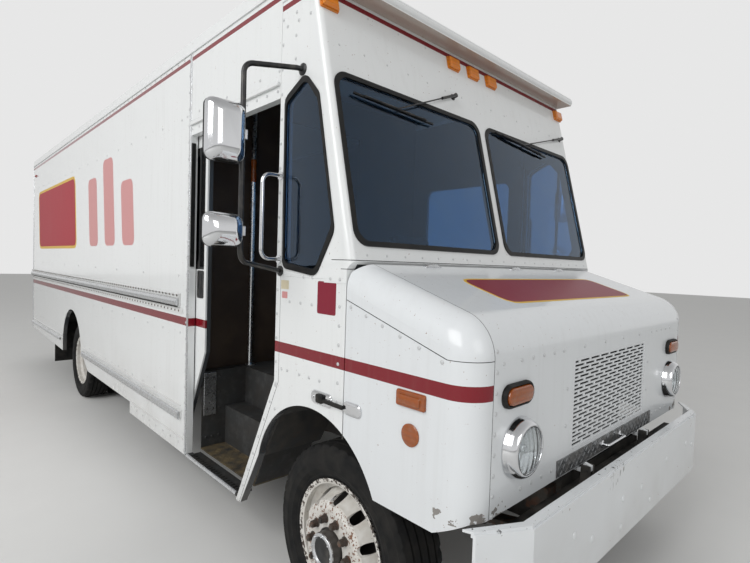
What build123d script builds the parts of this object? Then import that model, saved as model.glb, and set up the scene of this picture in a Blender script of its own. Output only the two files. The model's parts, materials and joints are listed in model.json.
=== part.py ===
"""Walk-in delivery step van, built as its real pieces, in millimetres.

The van faces -Y. +X is its left side (the driver's), -X the curb side, +Z is up and the
road is Z = 0. Every size below is measured along Y from the front axle; export() moves
the finished pieces so that the origin is at the bottom centre of the whole van.
"""
import os
from math import atan, cos, degrees, pi, radians, sin, sqrt, tan

from build123d import *

# Body envelope
BODY_W = 2172.0            # outside width over the side skins
HALF_W = BODY_W / 2
WALL_T = 40.0              # a side wall with its posts and lining
BODY_REAR = 6950.0         # outer face of the rear frame
BODY_TOP = 2870.0          # top edge of the side rails
WALL_TOP = BODY_TOP - 80.0  # where the side skins meet the roof rails
ROOF_CROWN = 38.0          # rise of the roof at the centre line
ROOF_T = 30.0
FLOOR_TOP = 840.0
FLOOR_T = 40.0
AISLE_PLATE_HALF = 440.0   # wear plate down the aisle of the load floor
AISLE_PLATE_T = 3.0
SEAT_GAP = 0.3             # clearance between pieces that seat on one another
RUN_GAP = 6.0              # clearance of doors and of the tilting nose

# Axles, wheels and tyres
WHEELBASE = 4521.0
TYRE_R = 402.0
TYRE_W = 226.0
AXLE_Z = TYRE_R
RIM_BEAD_R = 247.6         # 19.5 in bead seat
RIM_FLANGE_R = 260.5
RIM_W = 190.0              # over the flanges
RIM_T = 9.0
FRONT_TYRE_X = 955.0       # centre plane of a front tyre
REAR_OUTER_X = 896.0       # centre plane of the outer rear tyre
DUAL_PITCH = 262.0
NUTS = 10
NUT_CIRCLE = 225.0
HUB_BORE_R = 78.0
HAND_HOLE_R = 22.0
HAND_HOLE_CIRCLE_R = 188.0
KINGPIN_X = 820.0
KINGPIN_R = 20.0
SPINDLE_R = 40.0
FIT_GAP = 0.05             # radial running clearance of pins and spindles
HUB_R = 70.0
DRUM_R = 190.0

# Cab and its front face
CAB_REAR = 444.0           # seam in front of the cab door openings
FIREWALL_Y = -57.0
FACE_Y = -84.0             # windshield face at height FACE_Z
FACE_Z = 1550.0
FACE_LEAN = degrees(atan(0.242))
CAP_FRONT = 103.0          # leading edge of the roof cap over the windshield
SOFFIT_Z = BODY_TOP - 150.0
CAP_EDGE_H = 46.0
CAB_CORNER_R = 30.0

# Windshield, as heights up the leaning face
PANE_LOW = 72.0
PANE_HIGH = 822.0
PANE_INNER_X = 27.0
PANE_OUTER_X = HALF_W - 30.0
PANE_CORNER_R = 70.0
RUBBER_W = 22.0
RUBBER_T = 16.0
GLASS_T = 6.0
GLASS_IN = 4.0             # outer face of the glass behind the skin
QUARTER_LIP = 12.0

# Wheel arches
ARCH_Y = 150.0
ARCH_Z = 499.0
ARCH_R = 435.0
REAR_ARCH_Y = 4552.0
REAR_ARCH_Z = 530.0
REAR_ARCH_R = 428.0

# Cab door openings
DOOR_REAR = 1434.0
DOOR_TOP = 2294.0
SILL_Z = 350.0
SILL_FRONT = 786.0
JAMB_KINK_Z = 997.0
JAMB_FOOT_Z = 302.0
DOOR_T = 34.0
DOOR_LAP = 24.0            # how far a shut door laps behind its jambs
DOOR_OPEN = 880.0          # how far the open curb door stands back of shut

# Nose that tilts forward
NOSE_FRONT = -662.0
NOSE_REAR = -62.0
NOSE_T = 8.0
NOSE_R = 106.0             # rolled shoulders and corners
HOOD_R = 153.0             # roll from the hood into the front panel
HOOD_SLOPE = 0.32
HOOD_EDGE_Z = 1258.0       # where the front panel starts to roll back
PANEL_LOW = 752.0
FENDER_LOW = 690.0
HINGE_Y = -700.0
HINGE_Z = 760.0
HINGE_R = 12.0

# Grille in the front panel
GRILLE_W = 820.0
GRILLE_LOW = 840.0
GRILLE_HIGH = 1201.0
GRILLE_T = 5.0
GRILLE_ROWS = 22
GRILLE_SLOTS = 8
SLOT_H = 8.6
SLOT_BRIDGE = 16.0         # metal left between two slots of a row
GRILLE_RIM = 6.0

# Lamps on the nose
HEADLAMP_X = 818.0
HEADLAMP_Z = 950.0
HEADLAMP_RING_R = 107.0
HEADLAMP_LENS_R = 88.0
HEADLAMP_D = 52.0
TURN_X = 842.0
TURN_Z = 1134.0
TURN_L = 184.0
TURN_H = 80.0
TURN_D = 24.0

# Front bumper
BUMPER_Y = -788.0
BUMPER_LOW = 445.0
BUMPER_HIGH = 765.0
BUMPER_HALF = 923.0        # straight part, to each side
BUMPER_END_X = 1090.0
BUMPER_END_Y = -690.0
BUMPER_T = 8.0
BUMPER_LIP = 38.0

# Chassis
RAIL_X = 430.0             # outer face of a frame rail
RAIL_H = 230.0
RAIL_W = 76.0
RAIL_T = 8.0
RAIL_TOP = 730.0
RAIL_FRONT = -640.0
RAIL_REAR = 6900.0
SPRING_X = 470.0
SPRING_W = 70.0


def box(x, y, z):
    """Solid between two X, two Y and two Z values."""
    size = (x[1] - x[0], y[1] - y[0], z[1] - z[0])
    return Pos(x[0], y[0], z[0]) * Box(*size, align=(Align.MIN, Align.MIN, Align.MIN))


def outline(points, radius=0.0):
    """Wire through points, its corners rounded by one radius or by a list of radii."""
    if not hasattr(radius, "__len__") and radius <= 0:
        return Polyline(*points, close=True)
    return FilletPolyline(*points, radius=radius, close=True)


def prism(points, axis, span, radius=0.0):
    """Outline of (first, second) axis values, swept along the third axis over span."""
    planes = {
        "X": (Plane(origin=(span[0], 0, 0), x_dir=(0, 1, 0), z_dir=(1, 0, 0)), (1, 0, 0)),
        "Y": (Plane(origin=(0, span[0], 0), x_dir=(1, 0, 0), z_dir=(0, -1, 0)), (0, 1, 0)),
        "Z": (Plane(origin=(0, 0, span[0])), (0, 0, 1)),
    }
    plane, along = planes[axis]
    face = plane * make_face(outline(points, radius))
    return extrude(face, amount=span[1] - span[0], dir=along)


def rect(low_a, high_a, low_b, high_b):
    """The four corners of a rectangle."""
    return [(low_a, low_b), (high_a, low_b), (high_a, high_b), (low_a, high_b)]


def rod(start, end, radius):
    """Round bar from start to end."""
    axis = Vector(*end) - Vector(*start)
    plane = Plane(origin=start, z_dir=axis)
    return extrude(plane * Circle(radius), amount=axis.length)


def bent_tube(points, radius, bend):
    """Round tube along straight runs joined by arcs."""
    path = FilletPolyline(*points, radius=bend)
    start = Plane(origin=path @ 0, z_dir=path % 0)
    return sweep(start * Circle(radius), path)


def mirrored(shape):
    """The same piece on the other side of the van."""
    return mirror(shape, about=Plane.YZ)


def both_sides(shape):
    """A piece and its mirror image as separate solids."""
    return Compound(children=[*Part(shape).solids(), *Part(mirrored(shape)).solids()])


def together(*shapes):
    """Several solids that don't touch, kept apart in one node."""
    return Compound(children=[solid for shape in shapes for solid in shape.solids()])


def on_face(height, depth=0.0):
    """Plane on the leaning windshield face, height up the slope and depth behind it."""
    lean = radians(FACE_LEAN)
    out = Vector(0, -cos(lean), sin(lean))
    up = Vector(0, sin(lean), cos(lean))
    origin = Vector(0, FACE_Y, FACE_Z) + up * height - out * depth
    return Plane(origin=origin, x_dir=(1, 0, 0), z_dir=out)


def face_y(z):
    """Y of the windshield face at a height."""
    return FACE_Y + (z - FACE_Z) * tan(radians(FACE_LEAN))


def jamb_y(z):
    """Y of the front jamb of a cab door opening at a height."""
    drop = max(0.0, JAMB_KINK_Z - z)
    return CAB_REAR + drop * (SILL_FRONT - CAB_REAR) / (JAMB_KINK_Z - JAMB_FOOT_Z)


# Cab shell: face, cowl, firewall and both quarter panels
QUARTER_WINDOW = [  # y, z, corner radius
    (388, 1534, 40), (143, 1505, 55), (31, 1690, 70), (152, 2240, 60), (246, 2343, 50),
    (397, 2270, 50),
]
COWL_STEP_Z = 1527.0
STRIP_FOOT_Y = 742.0       # front edge of the strip under the jamb, at its foot


def cab_outline(inset):
    """Side view of the cab, closed at the back, drawn inset from the outer skin."""
    top = SOFFIT_Z - inset
    shift = inset / cos(radians(FACE_LEAN))
    return [
        (FIREWALL_Y + inset, FENDER_LOW),
        (FIREWALL_Y + inset, COWL_STEP_Z),
        (face_y(FACE_Z + 10) + shift, FACE_Z + 10),
        (face_y(top) + shift, top),
        (CAB_REAR, top),
        (CAB_REAR, JAMB_KINK_Z),
        (SILL_FRONT, JAMB_FOOT_Z),
        (STRIP_FOOT_Y, JAMB_FOOT_Z),
        (540, 662),
    ]


def cab_shell():
    outer = prism(cab_outline(0), "X", (-HALF_W, HALF_W))
    corners = outer.edges().filter_by(
        lambda e: abs(abs(e.center().X) - HALF_W) < 1
        and FACE_Z + 50 < e.center().Z < SOFFIT_Z - 50 and e.center().Y < CAB_REAR - 60)
    outer = fillet(corners, CAB_CORNER_R)
    hollow = [
        (FIREWALL_Y + WALL_T, FENDER_LOW - 1),
        (FIREWALL_Y + WALL_T, COWL_STEP_Z),
        *[(y, z) for y, z in cab_outline(WALL_T)[2:4]],
        (CAB_REAR + 1, SOFFIT_Z - WALL_T),
        (SILL_FRONT + 1, SOFFIT_Z - WALL_T),
        (SILL_FRONT + 1, JAMB_FOOT_Z - 1),
        (FIREWALL_Y + WALL_T, JAMB_FOOT_Z - 1),
    ]
    shell = outer - prism(hollow, "X", (-HALF_W + WALL_T, HALF_W - WALL_T))
    arch = Pos(0, ARCH_Y, ARCH_Z) * Rot(0, 90, 0) * Cylinder(ARCH_R, BODY_W + 10)
    below = prism([(FIREWALL_Y - 10, 200), (STRIP_FOOT_Y, 200), (STRIP_FOOT_Y, JAMB_FOOT_Z),
                   (540, 662), (455, 806), (300, 806), (FIREWALL_Y - 10, 806)],
                  "X", (-HALF_W - 5, HALF_W + 5))
    shell = shell - arch - below
    shell = shell - windshield_cutter(0)
    window = prism([(y, z) for y, z, _ in QUARTER_WINDOW], "X", (-HALF_W - 5, HALF_W + 5),
                   [r for _, _, r in QUARTER_WINDOW])
    shell = shell - window
    engine_way = box((-ENGINE_HALF - COVER_GAP, ENGINE_HALF + COVER_GAP),
                     (FIREWALL_Y - 5, FIREWALL_Y + WALL_T + 5), (0, ENGINE_TOP + COVER_GAP))
    return shell - engine_way


def pane_outline(side, inset):
    """Corners of one windshield opening on the face plane."""
    inner, outer = PANE_INNER_X + inset, PANE_OUTER_X - inset
    return [(side * inner, PANE_LOW + inset), (side * outer, PANE_LOW + inset),
            (side * outer, PANE_HIGH - inset), (side * inner, PANE_HIGH - inset)]


def pane_slab(inset, front, back):
    """Both panes as slabs from front to back of the face, measured inwards."""
    slabs = []
    for side in (-1, 1):
        face = make_face(outline(pane_outline(side, inset), PANE_CORNER_R - inset / 2))
        slabs.append(extrude(on_face(0, back) * face, amount=back - front))
    return slabs


def windshield_cutter(inset):
    left, right = pane_slab(inset + RUBBER_W / 2, -20, WALL_T * 2)
    return left + right


def fixed_glass():
    panes = pane_slab(RUBBER_W + SEAT_GAP, GLASS_IN, GLASS_IN + GLASS_T)
    quarter = []
    for side in (-1, 1):
        span = sorted((side * (HALF_W - GLASS_IN), side * (HALF_W - GLASS_IN - GLASS_T)))
        quarter.append(prism(shrunk_window(QUARTER_LIP + SEAT_GAP), "X", span, 40))
    return together(*panes, *quarter)


def shrunk_window(inset):
    """Quarter window outline moved in by an amount towards its centre."""
    points = [(y, z) for y, z, _ in QUARTER_WINDOW]
    middle_y = sum(y for y, _ in points) / len(points)
    middle_z = sum(z for _, z in points) / len(points)
    result = []
    for y, z in points:
        reach = sqrt((y - middle_y) ** 2 + (z - middle_z) ** 2)
        share = 1 - inset * 1.25 / reach
        result.append((middle_y + (y - middle_y) * share, middle_z + (z - middle_z) * share))
    return result


# Engine and what surrounds it
ENGINE_HALF = 300.0
ENGINE_FRONT = -420.0
ENGINE_REAR = 430.0
ENGINE_LOW = 560.0
ENGINE_TOP = 1150.0
COVER_GAP = 30.0
COVER_T = 12.0
COVER_REAR = 640.0


def engine_cover():
    """Hollow box over the back of the engine, between the seats."""
    front = FIREWALL_Y + WALL_T + SEAT_GAP
    half = ENGINE_HALF + COVER_GAP + COVER_T
    profile = [(front, FLOOR_TOP + SEAT_GAP), (COVER_REAR, FLOOR_TOP + SEAT_GAP),
               (COVER_REAR - 60, ENGINE_TOP + COVER_GAP + COVER_T - 40),
               (COVER_REAR - 120, ENGINE_TOP + COVER_GAP + COVER_T),
               (front, ENGINE_TOP + COVER_GAP + COVER_T)]
    inside = [(front - 1, FLOOR_TOP - 1), (COVER_REAR - COVER_T, FLOOR_TOP - 1),
              (COVER_REAR - 60 - COVER_T, ENGINE_TOP + COVER_GAP - 40),
              (COVER_REAR - 120 - COVER_T / 2, ENGINE_TOP + COVER_GAP),
              (front - 1, ENGINE_TOP + COVER_GAP)]
    return (prism(profile, "X", (-half, half))
            - prism(inside, "X", (-half + COVER_T, half - COVER_T)))


def engine_block():
    block = box((-ENGINE_HALF, ENGINE_HALF), (ENGINE_FRONT, ENGINE_REAR), (ENGINE_LOW, ENGINE_TOP))
    return chamfer(block.edges().filter_by(Axis.Y), 60)


RADIATOR_Y = -560.0
RADIATOR_T = 70.0


def radiator():
    core = box((-390, 390), (RADIATOR_Y, RADIATOR_Y + RADIATOR_T), (RAIL_TOP + 8, 1180))
    tank = box((-410, 410), (RADIATOR_Y - 8, RADIATOR_Y + RADIATOR_T + 8), (1140, 1210))
    feet = box((-RAIL_X, -RAIL_X + RAIL_W), (RADIATOR_Y + 10, RADIATOR_Y + 50),
               (RAIL_TOP + SEAT_GAP, RAIL_TOP + 60))
    return core + fillet(tank.edges().filter_by(Axis.X), 20) + feet + mirrored(feet)


# Nose
def nose_form(inset, low, rear):
    """Rolled form of the nose, inset from its skin, from height low to a rear plane."""
    front = NOSE_FRONT + inset
    fall = HOOD_SLOPE
    angle = atan(fall)
    drop = inset / cos(angle)
    tangent = HOOD_R * tan((pi / 2 - angle) / 2)
    corner_z = HOOD_EDGE_Z + tangent - drop
    rear_z = corner_z + (rear - front + inset) * fall
    points = [(front, low), (front, corner_z), (rear, rear_z), (rear, low)]
    radius = max(HOOD_R - inset, 1)
    form = prism(points, "X", (-HALF_W + inset, HALF_W - inset), [0, radius, 0, 0])
    roll = form.edges().filter_by(
        lambda e: abs(abs(e.center().X) - (HALF_W - inset)) < 0.5
        and e.center().Y < rear - 1 and e.center().Z > low + 1)
    return fillet(roll, NOSE_R - inset)


def nose_side():
    """Side view of the nose: wheel arch at the back, lifted front corner."""
    return [(NOSE_FRONT - 5, PANEL_LOW), (-640, PANEL_LOW), (-520, FENDER_LOW),
            (-100, FENDER_LOW), (NOSE_REAR, FENDER_LOW), (NOSE_REAR, 1518),
            (-100, 1551), (-100, 1700), (NOSE_FRONT - 5, 1700)]


def nose_shell():
    shell = nose_form(0, FENDER_LOW - 20, 0) - nose_form(NOSE_T, FENDER_LOW - 60, 20)
    shell = shell & prism(nose_side(), "X", (-HALF_W - 5, HALF_W + 5))
    shell -= Pos(0, ARCH_Y, ARCH_Z) * Rot(0, 90, 0) * Cylinder(ARCH_R, BODY_W + 10)
    shell -= box((-GRILLE_W / 2 - SEAT_GAP, GRILLE_W / 2 + SEAT_GAP),
                 (NOSE_FRONT - 10, NOSE_FRONT + 40),
                 (GRILLE_LOW - SEAT_GAP, GRILLE_HIGH + SEAT_GAP))
    for side in (-1, 1):
        shell -= (Pos(side * HEADLAMP_X, NOSE_FRONT, HEADLAMP_Z) * Rot(90, 0, 0)
                  * Cylinder(HEADLAMP_LENS_R + 6, 60))
    for side in (-1, 1):
        shell += hinge_arm(side)
    return shell


HINGE_X = 330.0
HINGE_ARM_T = 16.0
HINGE_PIN_R = 10.0


def hinge_arm(side):
    """Flat arm from the inside of the front panel, under its edge, to the hinge pin."""
    middle = side * HINGE_X
    back = NOSE_FRONT + 62
    profile = [(NOSE_FRONT + 7, PANEL_LOW + 60), (back, PANEL_LOW + 60), (back, HINGE_Z - 25),
               (HINGE_Y, HINGE_Z - 25), (HINGE_Y - 18, HINGE_Z - 10), (HINGE_Y - 18, HINGE_Z + 10),
               (HINGE_Y + 10, HINGE_Z + 17), (NOSE_FRONT - 8, PANEL_LOW - 4),
               (NOSE_FRONT + 7, PANEL_LOW - 4)]
    plate = prism(profile, "X", (middle - HINGE_ARM_T / 2, middle + HINGE_ARM_T / 2))
    return plate - rod((middle - 20, HINGE_Y, HINGE_Z), (middle + 20, HINGE_Y, HINGE_Z),
                       HINGE_PIN_R + FIT_GAP)


def front_shelf():
    """Dark steel shelf behind the bumper with the two hinge brackets of the nose."""
    top = RAIL_TOP - 50
    shelf = box((-880, 880), (BUMPER_Y + BUMPER_T + BUMPER_LIP + 4, NOSE_FRONT + 20),
                (RAIL_TOP - 80 + SEAT_GAP, top))
    for side in (-1, 1):
        for cheek in (-1, 1):
            x = side * HINGE_X + cheek * (HINGE_ARM_T / 2 + 9)
            profile = [(HINGE_Y - 22, top - 1), (HINGE_Y + 22, top - 1), (HINGE_Y + 18, HINGE_Z + 10),
                       (HINGE_Y - 18, HINGE_Z + 10)]
            shelf += prism(profile, "X", (x - 4, x + 4))
        x = side * HINGE_X
        shelf += rod((x - 24, HINGE_Y, HINGE_Z), (x + 24, HINGE_Y, HINGE_Z), HINGE_PIN_R)
    return shelf


def grille():
    """Pressed sheet with staggered slots, like a brick wall, in a plain rim."""
    sheet = box((-GRILLE_W / 2, GRILLE_W / 2), (NOSE_FRONT + 1, NOSE_FRONT + 1 + GRILLE_T),
                (GRILLE_LOW, GRILLE_HIGH))
    field_w = GRILLE_W - 2 * GRILLE_RIM
    pitch_x = field_w / GRILLE_SLOTS
    pitch_z = (GRILLE_HIGH - GRILLE_LOW - 2 * GRILLE_RIM) / GRILLE_ROWS
    slots = []
    for row in range(GRILLE_ROWS):
        z = GRILLE_LOW + GRILLE_RIM + (row + 0.5) * pitch_z
        stagger = pitch_x / 2 if row % 2 else 0.0
        for column in range(GRILLE_SLOTS + row % 2):
            low = -field_w / 2 + column * pitch_x - stagger + SLOT_BRIDGE / 2
            high = low + pitch_x - SLOT_BRIDGE
            low = max(low, -field_w / 2 + SLOT_BRIDGE / 2)
            high = min(high, field_w / 2 - SLOT_BRIDGE / 2)
            slots.append(Pos((low + high) / 2, NOSE_FRONT, z) * Box(high - low, 40, SLOT_H))
    return sheet - slots


def lamp_ring():
    """Chrome headlamp ring, turned about its own axis, facing -Y."""
    profile = [  # radius, depth out of the panel
        (HEADLAMP_LENS_R - 8, HEADLAMP_D - 12), (HEADLAMP_LENS_R, HEADLAMP_D),
        (HEADLAMP_LENS_R + 8, HEADLAMP_D - 2), (HEADLAMP_RING_R - 2, 16),
        (HEADLAMP_RING_R, SEAT_GAP), (HEADLAMP_LENS_R - 8, SEAT_GAP),
    ]
    face = make_face(Polyline(*[(r, 0, d) for r, d in profile], close=True))
    return Rot(90, 0, 0) * revolve(face, axis=Axis.Z)


def headlamp_rings():
    ring = Pos(HEADLAMP_X, NOSE_FRONT, HEADLAMP_Z) * lamp_ring()
    return both_sides(ring)


def headlamp_lenses():
    radius = HEADLAMP_LENS_R - 8 - SEAT_GAP
    bulge = 14.0
    crown_r = (radius ** 2 + bulge ** 2) / (2 * bulge)
    top = HEADLAMP_D - 2
    barrel = extrude(Pos(0, 0, -20) * Circle(radius), amount=top + 20)
    lens = Rot(90, 0, 0) * (barrel & Pos(0, 0, top - crown_r) * Sphere(crown_r))
    return both_sides(Pos(HEADLAMP_X, NOSE_FRONT, HEADLAMP_Z) * lens)


def pill(length, height, depth):
    """Lamp with round ends: length along X, height along Z, standing out along -Y."""
    body = extrude(Plane.XZ * SlotOverall(length, height), amount=depth)
    return fillet(body.faces().sort_by(Axis.Y)[0].edges(), depth * 0.3)


SIDE_MARKER = (-414.0, 1099.0, 129.0, 56.0, 22.0)      # y, z, length, height, depth
REFLECTOR = (-414.0, 979.0, 39.0, 6.0)                 # y, z, radius, depth


def nose_lamps():
    """Turn lamps in front, marker lamp and round reflector on each side."""
    turn = Pos(TURN_X, NOSE_FRONT - SEAT_GAP, TURN_Z) * pill(TURN_L, TURN_H, TURN_D)
    y, z, length, height, depth = SIDE_MARKER
    marker = box((HALF_W + SEAT_GAP, HALF_W + depth), (y - length / 2, y + length / 2),
                 (z - height / 2, z + height / 2))
    marker = fillet(marker.faces().sort_by(Axis.X)[-1].edges(), 5)
    y, z, radius, depth = REFLECTOR
    button = rod((HALF_W + SEAT_GAP, y, z), (HALF_W + depth, y, z), radius)
    return together(both_sides(turn), both_sides(marker), both_sides(button))


TREAD_STRIP = (-528.0, 535.0, 758.0, 823.0, 4.0)       # x, x, z, z, thickness
HANDLE_HALF = 105.0


def nose_handle():
    """Tread plate under the grille and the bar that lifts the nose."""
    x0, x1, z0, z1, thick = TREAD_STRIP
    front = NOSE_FRONT - thick
    strip = box((x0, x1), (front, NOSE_FRONT - SEAT_GAP), (z0, z1))
    z = (z0 + z1) / 2 + 6
    bar = bent_tube([(-HANDLE_HALF, front + 1, z), (-HANDLE_HALF, front - 38, z),
                     (HANDLE_HALF, front - 38, z), (HANDLE_HALF, front + 1, z)], 8, 22)
    return strip + bar


# Body sides
LATCH = (-118.0, 995.0)                                # y, z of the hook on the nose


def side_wall():
    """Curb-side wall behind the cab seam, with its door opening and wheel arch."""
    profile = [
        (CAB_REAR + 2, DOOR_TOP), (CAB_REAR + 2, WALL_TOP), (BODY_REAR, WALL_TOP),
        (BODY_REAR, 502), (4978, 450), (4978, 640), (4128, 640), (4128, 577), (3839, 414),
        (2538, 414), (2538, 326), (DOOR_REAR, 326), (DOOR_REAR, DOOR_TOP),
    ]
    wall = prism(profile, "X", (-HALF_W, -HALF_W + WALL_T))
    arch = (Pos(-HALF_W, REAR_ARCH_Y, REAR_ARCH_Z) * Rot(0, 90, 0)
            * Cylinder(REAR_ARCH_R, WALL_T * 2 + 10))
    return wall - arch + door_track()


TRACK_X = HALF_W - WALL_T - 23.0  # middle of the tongue on which a cab door hangs
TRACK_Z = (2318.0, 2346.0)
TONGUE_T = 10.0
TONGUE_TOP = 2330.0


def door_track():
    """Channel inside the right wall in which the door's tongue runs."""
    z0, z1 = TRACK_Z
    half = TONGUE_T / 2 + SEAT_GAP
    track = box((-HALF_W + WALL_T - 2, -TRACK_X + half + 8), (CAB_REAR + 6, 2340), (z0, z1))
    return track - box((-TRACK_X - half, -TRACK_X + half), (CAB_REAR, 2350),
                       (z0 - 5, TONGUE_TOP + SEAT_GAP))


UPPER_RAIL = (1560.0, 6940.0, 1236.0, 1330.0, 18.0)    # y, y, z, z, depth
LOWER_RAILS = [(1518.0, 4002.0, 534.0, 590.0, 16.0), (5010.0, 6900.0, 560.0, 600.0, 16.0)]


def rub_rails():
    """Aluminium rub rails with rolled edges along both sides."""
    rails = []
    for y0, y1, z0, z1, depth in [UPPER_RAIL, *LOWER_RAILS]:
        roll = depth * 0.45
        profile = [(HALF_W + SEAT_GAP, z0), (HALF_W + depth, z0 + roll),
                   (HALF_W + depth * 0.7, z0 + roll * 2), (HALF_W + depth * 0.7, z1 - roll * 2),
                   (HALF_W + depth, z1 - roll), (HALF_W + SEAT_GAP, z1)]
        rails.append(both_sides(prism(profile, "Y", (y0, y1))))
    return together(*rails)


def arch_section(side, low, spring, crown):
    """Cross-section of the roof: upright sides up to spring, then a flat arch."""
    return make_face([
        Polyline((side, spring), (side, low), (-side, low), (-side, spring)),
        ThreePointArc((-side, spring), (0, crown), (side, spring)),
    ])


def roof_side(drop, front, rear):
    """Side view of the roof: the cap slopes up from its front edge to the level crown."""
    crown = BODY_TOP + ROOF_CROWN + 5 - drop
    edge = SOFFIT_Z + CAP_EDGE_H - drop
    view = make_face([
        Polyline((front, edge), (front, SOFFIT_Z + SEAT_GAP), (CAB_REAR + 2, SOFFIT_Z + SEAT_GAP),
                 (CAB_REAR + 2, WALL_TOP - drop), (rear, WALL_TOP - drop), (rear, crown),
                 (1500, crown)),
        ThreePointArc((1500, crown), (760, crown - 60), (front, edge)),
    ])
    plane = Plane(origin=(-HALF_W - 20, 0, 0), x_dir=(0, 1, 0), z_dir=(1, 0, 0))
    return extrude(plane * view, amount=BODY_W + 40, dir=(1, 0, 0))


def roof():
    """Arched roof with side rails and the cap that overhangs the windshield."""
    side = HALF_W + 4
    spring = BODY_TOP - 12
    plane = Plane(origin=(0, BODY_REAR, 0), x_dir=(1, 0, 0), z_dir=(0, -1, 0))
    section = arch_section(side, SOFFIT_Z, spring, BODY_TOP + ROOF_CROWN)
    outer = extrude(plane * section, amount=BODY_REAR - CAP_FRONT, dir=(0, -1, 0))
    outer = outer & roof_side(0, CAP_FRONT, BODY_REAR)
    outer -= box((-side - 5, side + 5), (CAB_REAR + 2, BODY_REAR + 5), (0, WALL_TOP + SEAT_GAP))
    section = arch_section(HALF_W - WALL_T, WALL_TOP - 20, spring - ROOF_T,
                           BODY_TOP + ROOF_CROWN - ROOF_T)
    inner = extrude(plane * section, amount=BODY_REAR - CAB_REAR - 25, dir=(0, -1, 0))
    inner = inner & roof_side(ROOF_T, CAP_FRONT, BODY_REAR - 20)
    return outer - inner


REAR_POST = 70.0
REAR_HEADER_Z = WALL_TOP - 230.0
REAR_SILL_Z = 790.0


def rear_frame():
    """Portal round the rear doors, between the side walls."""
    half = HALF_W - WALL_T - SEAT_GAP
    frame = box((-half, half), (BODY_REAR - 60, BODY_REAR), (502, WALL_TOP))
    frame -= box((-half + REAR_POST, half - REAR_POST), (BODY_REAR - 70, BODY_REAR + 10),
                 (REAR_SILL_Z, REAR_HEADER_Z))
    frame -= box((-half + REAR_POST, half - REAR_POST), (BODY_REAR - 70, BODY_REAR + 10),
                 (500, RAIL_TOP + 6))
    pin_x, pin_y = rear_pin()
    for z in REAR_HINGES:
        for low, high in ((z - 78, z - 40 - SEAT_GAP), (z + 40 + SEAT_GAP, z + 78)):
            ear = box((pin_x - 4, pin_x + 24), (BODY_REAR - 2, pin_y), (low, high))
            ear += rod((pin_x, pin_y, low), (pin_x, pin_y, high), REAR_HINGE_R)
            frame += ear + mirrored(ear)
    return frame


def rear_pin():
    """X and Y of the left rear door's hinge pin."""
    return HALF_W - WALL_T - REAR_POST - RUN_GAP + 12, BODY_REAR + 15


REAR_HINGES = [REAR_SILL_Z + 180, REAR_HEADER_Z - 180]


REAR_DOOR_T = 36.0
REAR_WINDOW = (170.0, 1560.0, 430.0, 520.0)            # inset, z, width, height


def rear_door():
    """Left rear door panel, seated in the portal, with its window opening."""
    half = HALF_W - WALL_T - REAR_POST - RUN_GAP
    inner = RUN_GAP / 2
    panel = box((inner, half), (BODY_REAR - REAR_DOOR_T - 4, BODY_REAR - 4),
                (REAR_SILL_Z + RUN_GAP, REAR_HEADER_Z - RUN_GAP))
    inset, z, width, height = REAR_WINDOW
    hole = prism(rect(inset, inset + width, z, z + height), "Y",
                 (BODY_REAR - 60, BODY_REAR + 10), 40)
    panel = panel - hole
    pin_x, pin_y = rear_pin()
    for z in REAR_HINGES:
        panel += box((half - 130, half), (BODY_REAR - 5, BODY_REAR + 12), (z - 22, z + 22))
        panel += box((half - 20, pin_x), (BODY_REAR + 6, pin_y + 1), (z - 22, z + 22))
        panel += rod((pin_x, pin_y, z - 40), (pin_x, pin_y, z + 40), REAR_HINGE_R)
    return panel


REAR_HINGE_R = 9.0


def rear_door_glass():
    inset, z, width, height = REAR_WINDOW
    return prism(rect(inset + SEAT_GAP, inset + width - SEAT_GAP, z + SEAT_GAP,
                      z + height - SEAT_GAP), "Y", (BODY_REAR - 30, BODY_REAR - 24), 40)


def bulkhead():
    """Wall between cab and load space with an open doorway."""
    half = HALF_W - WALL_T - DOOR_T - 3 * RUN_GAP
    wall = box((-half, half), (BULKHEAD_Y, BULKHEAD_Y + 25), (FLOOR_TOP + SEAT_GAP, WALL_TOP + 30))
    return wall - box((-330, 330), (BULKHEAD_Y - 5, BULKHEAD_Y + 30), (FLOOR_TOP - 5, WALL_TOP - 230))


BULKHEAD_Y = 1500.0
FLOOR_HALF = 690.0         # cab floor between the step wells


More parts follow.
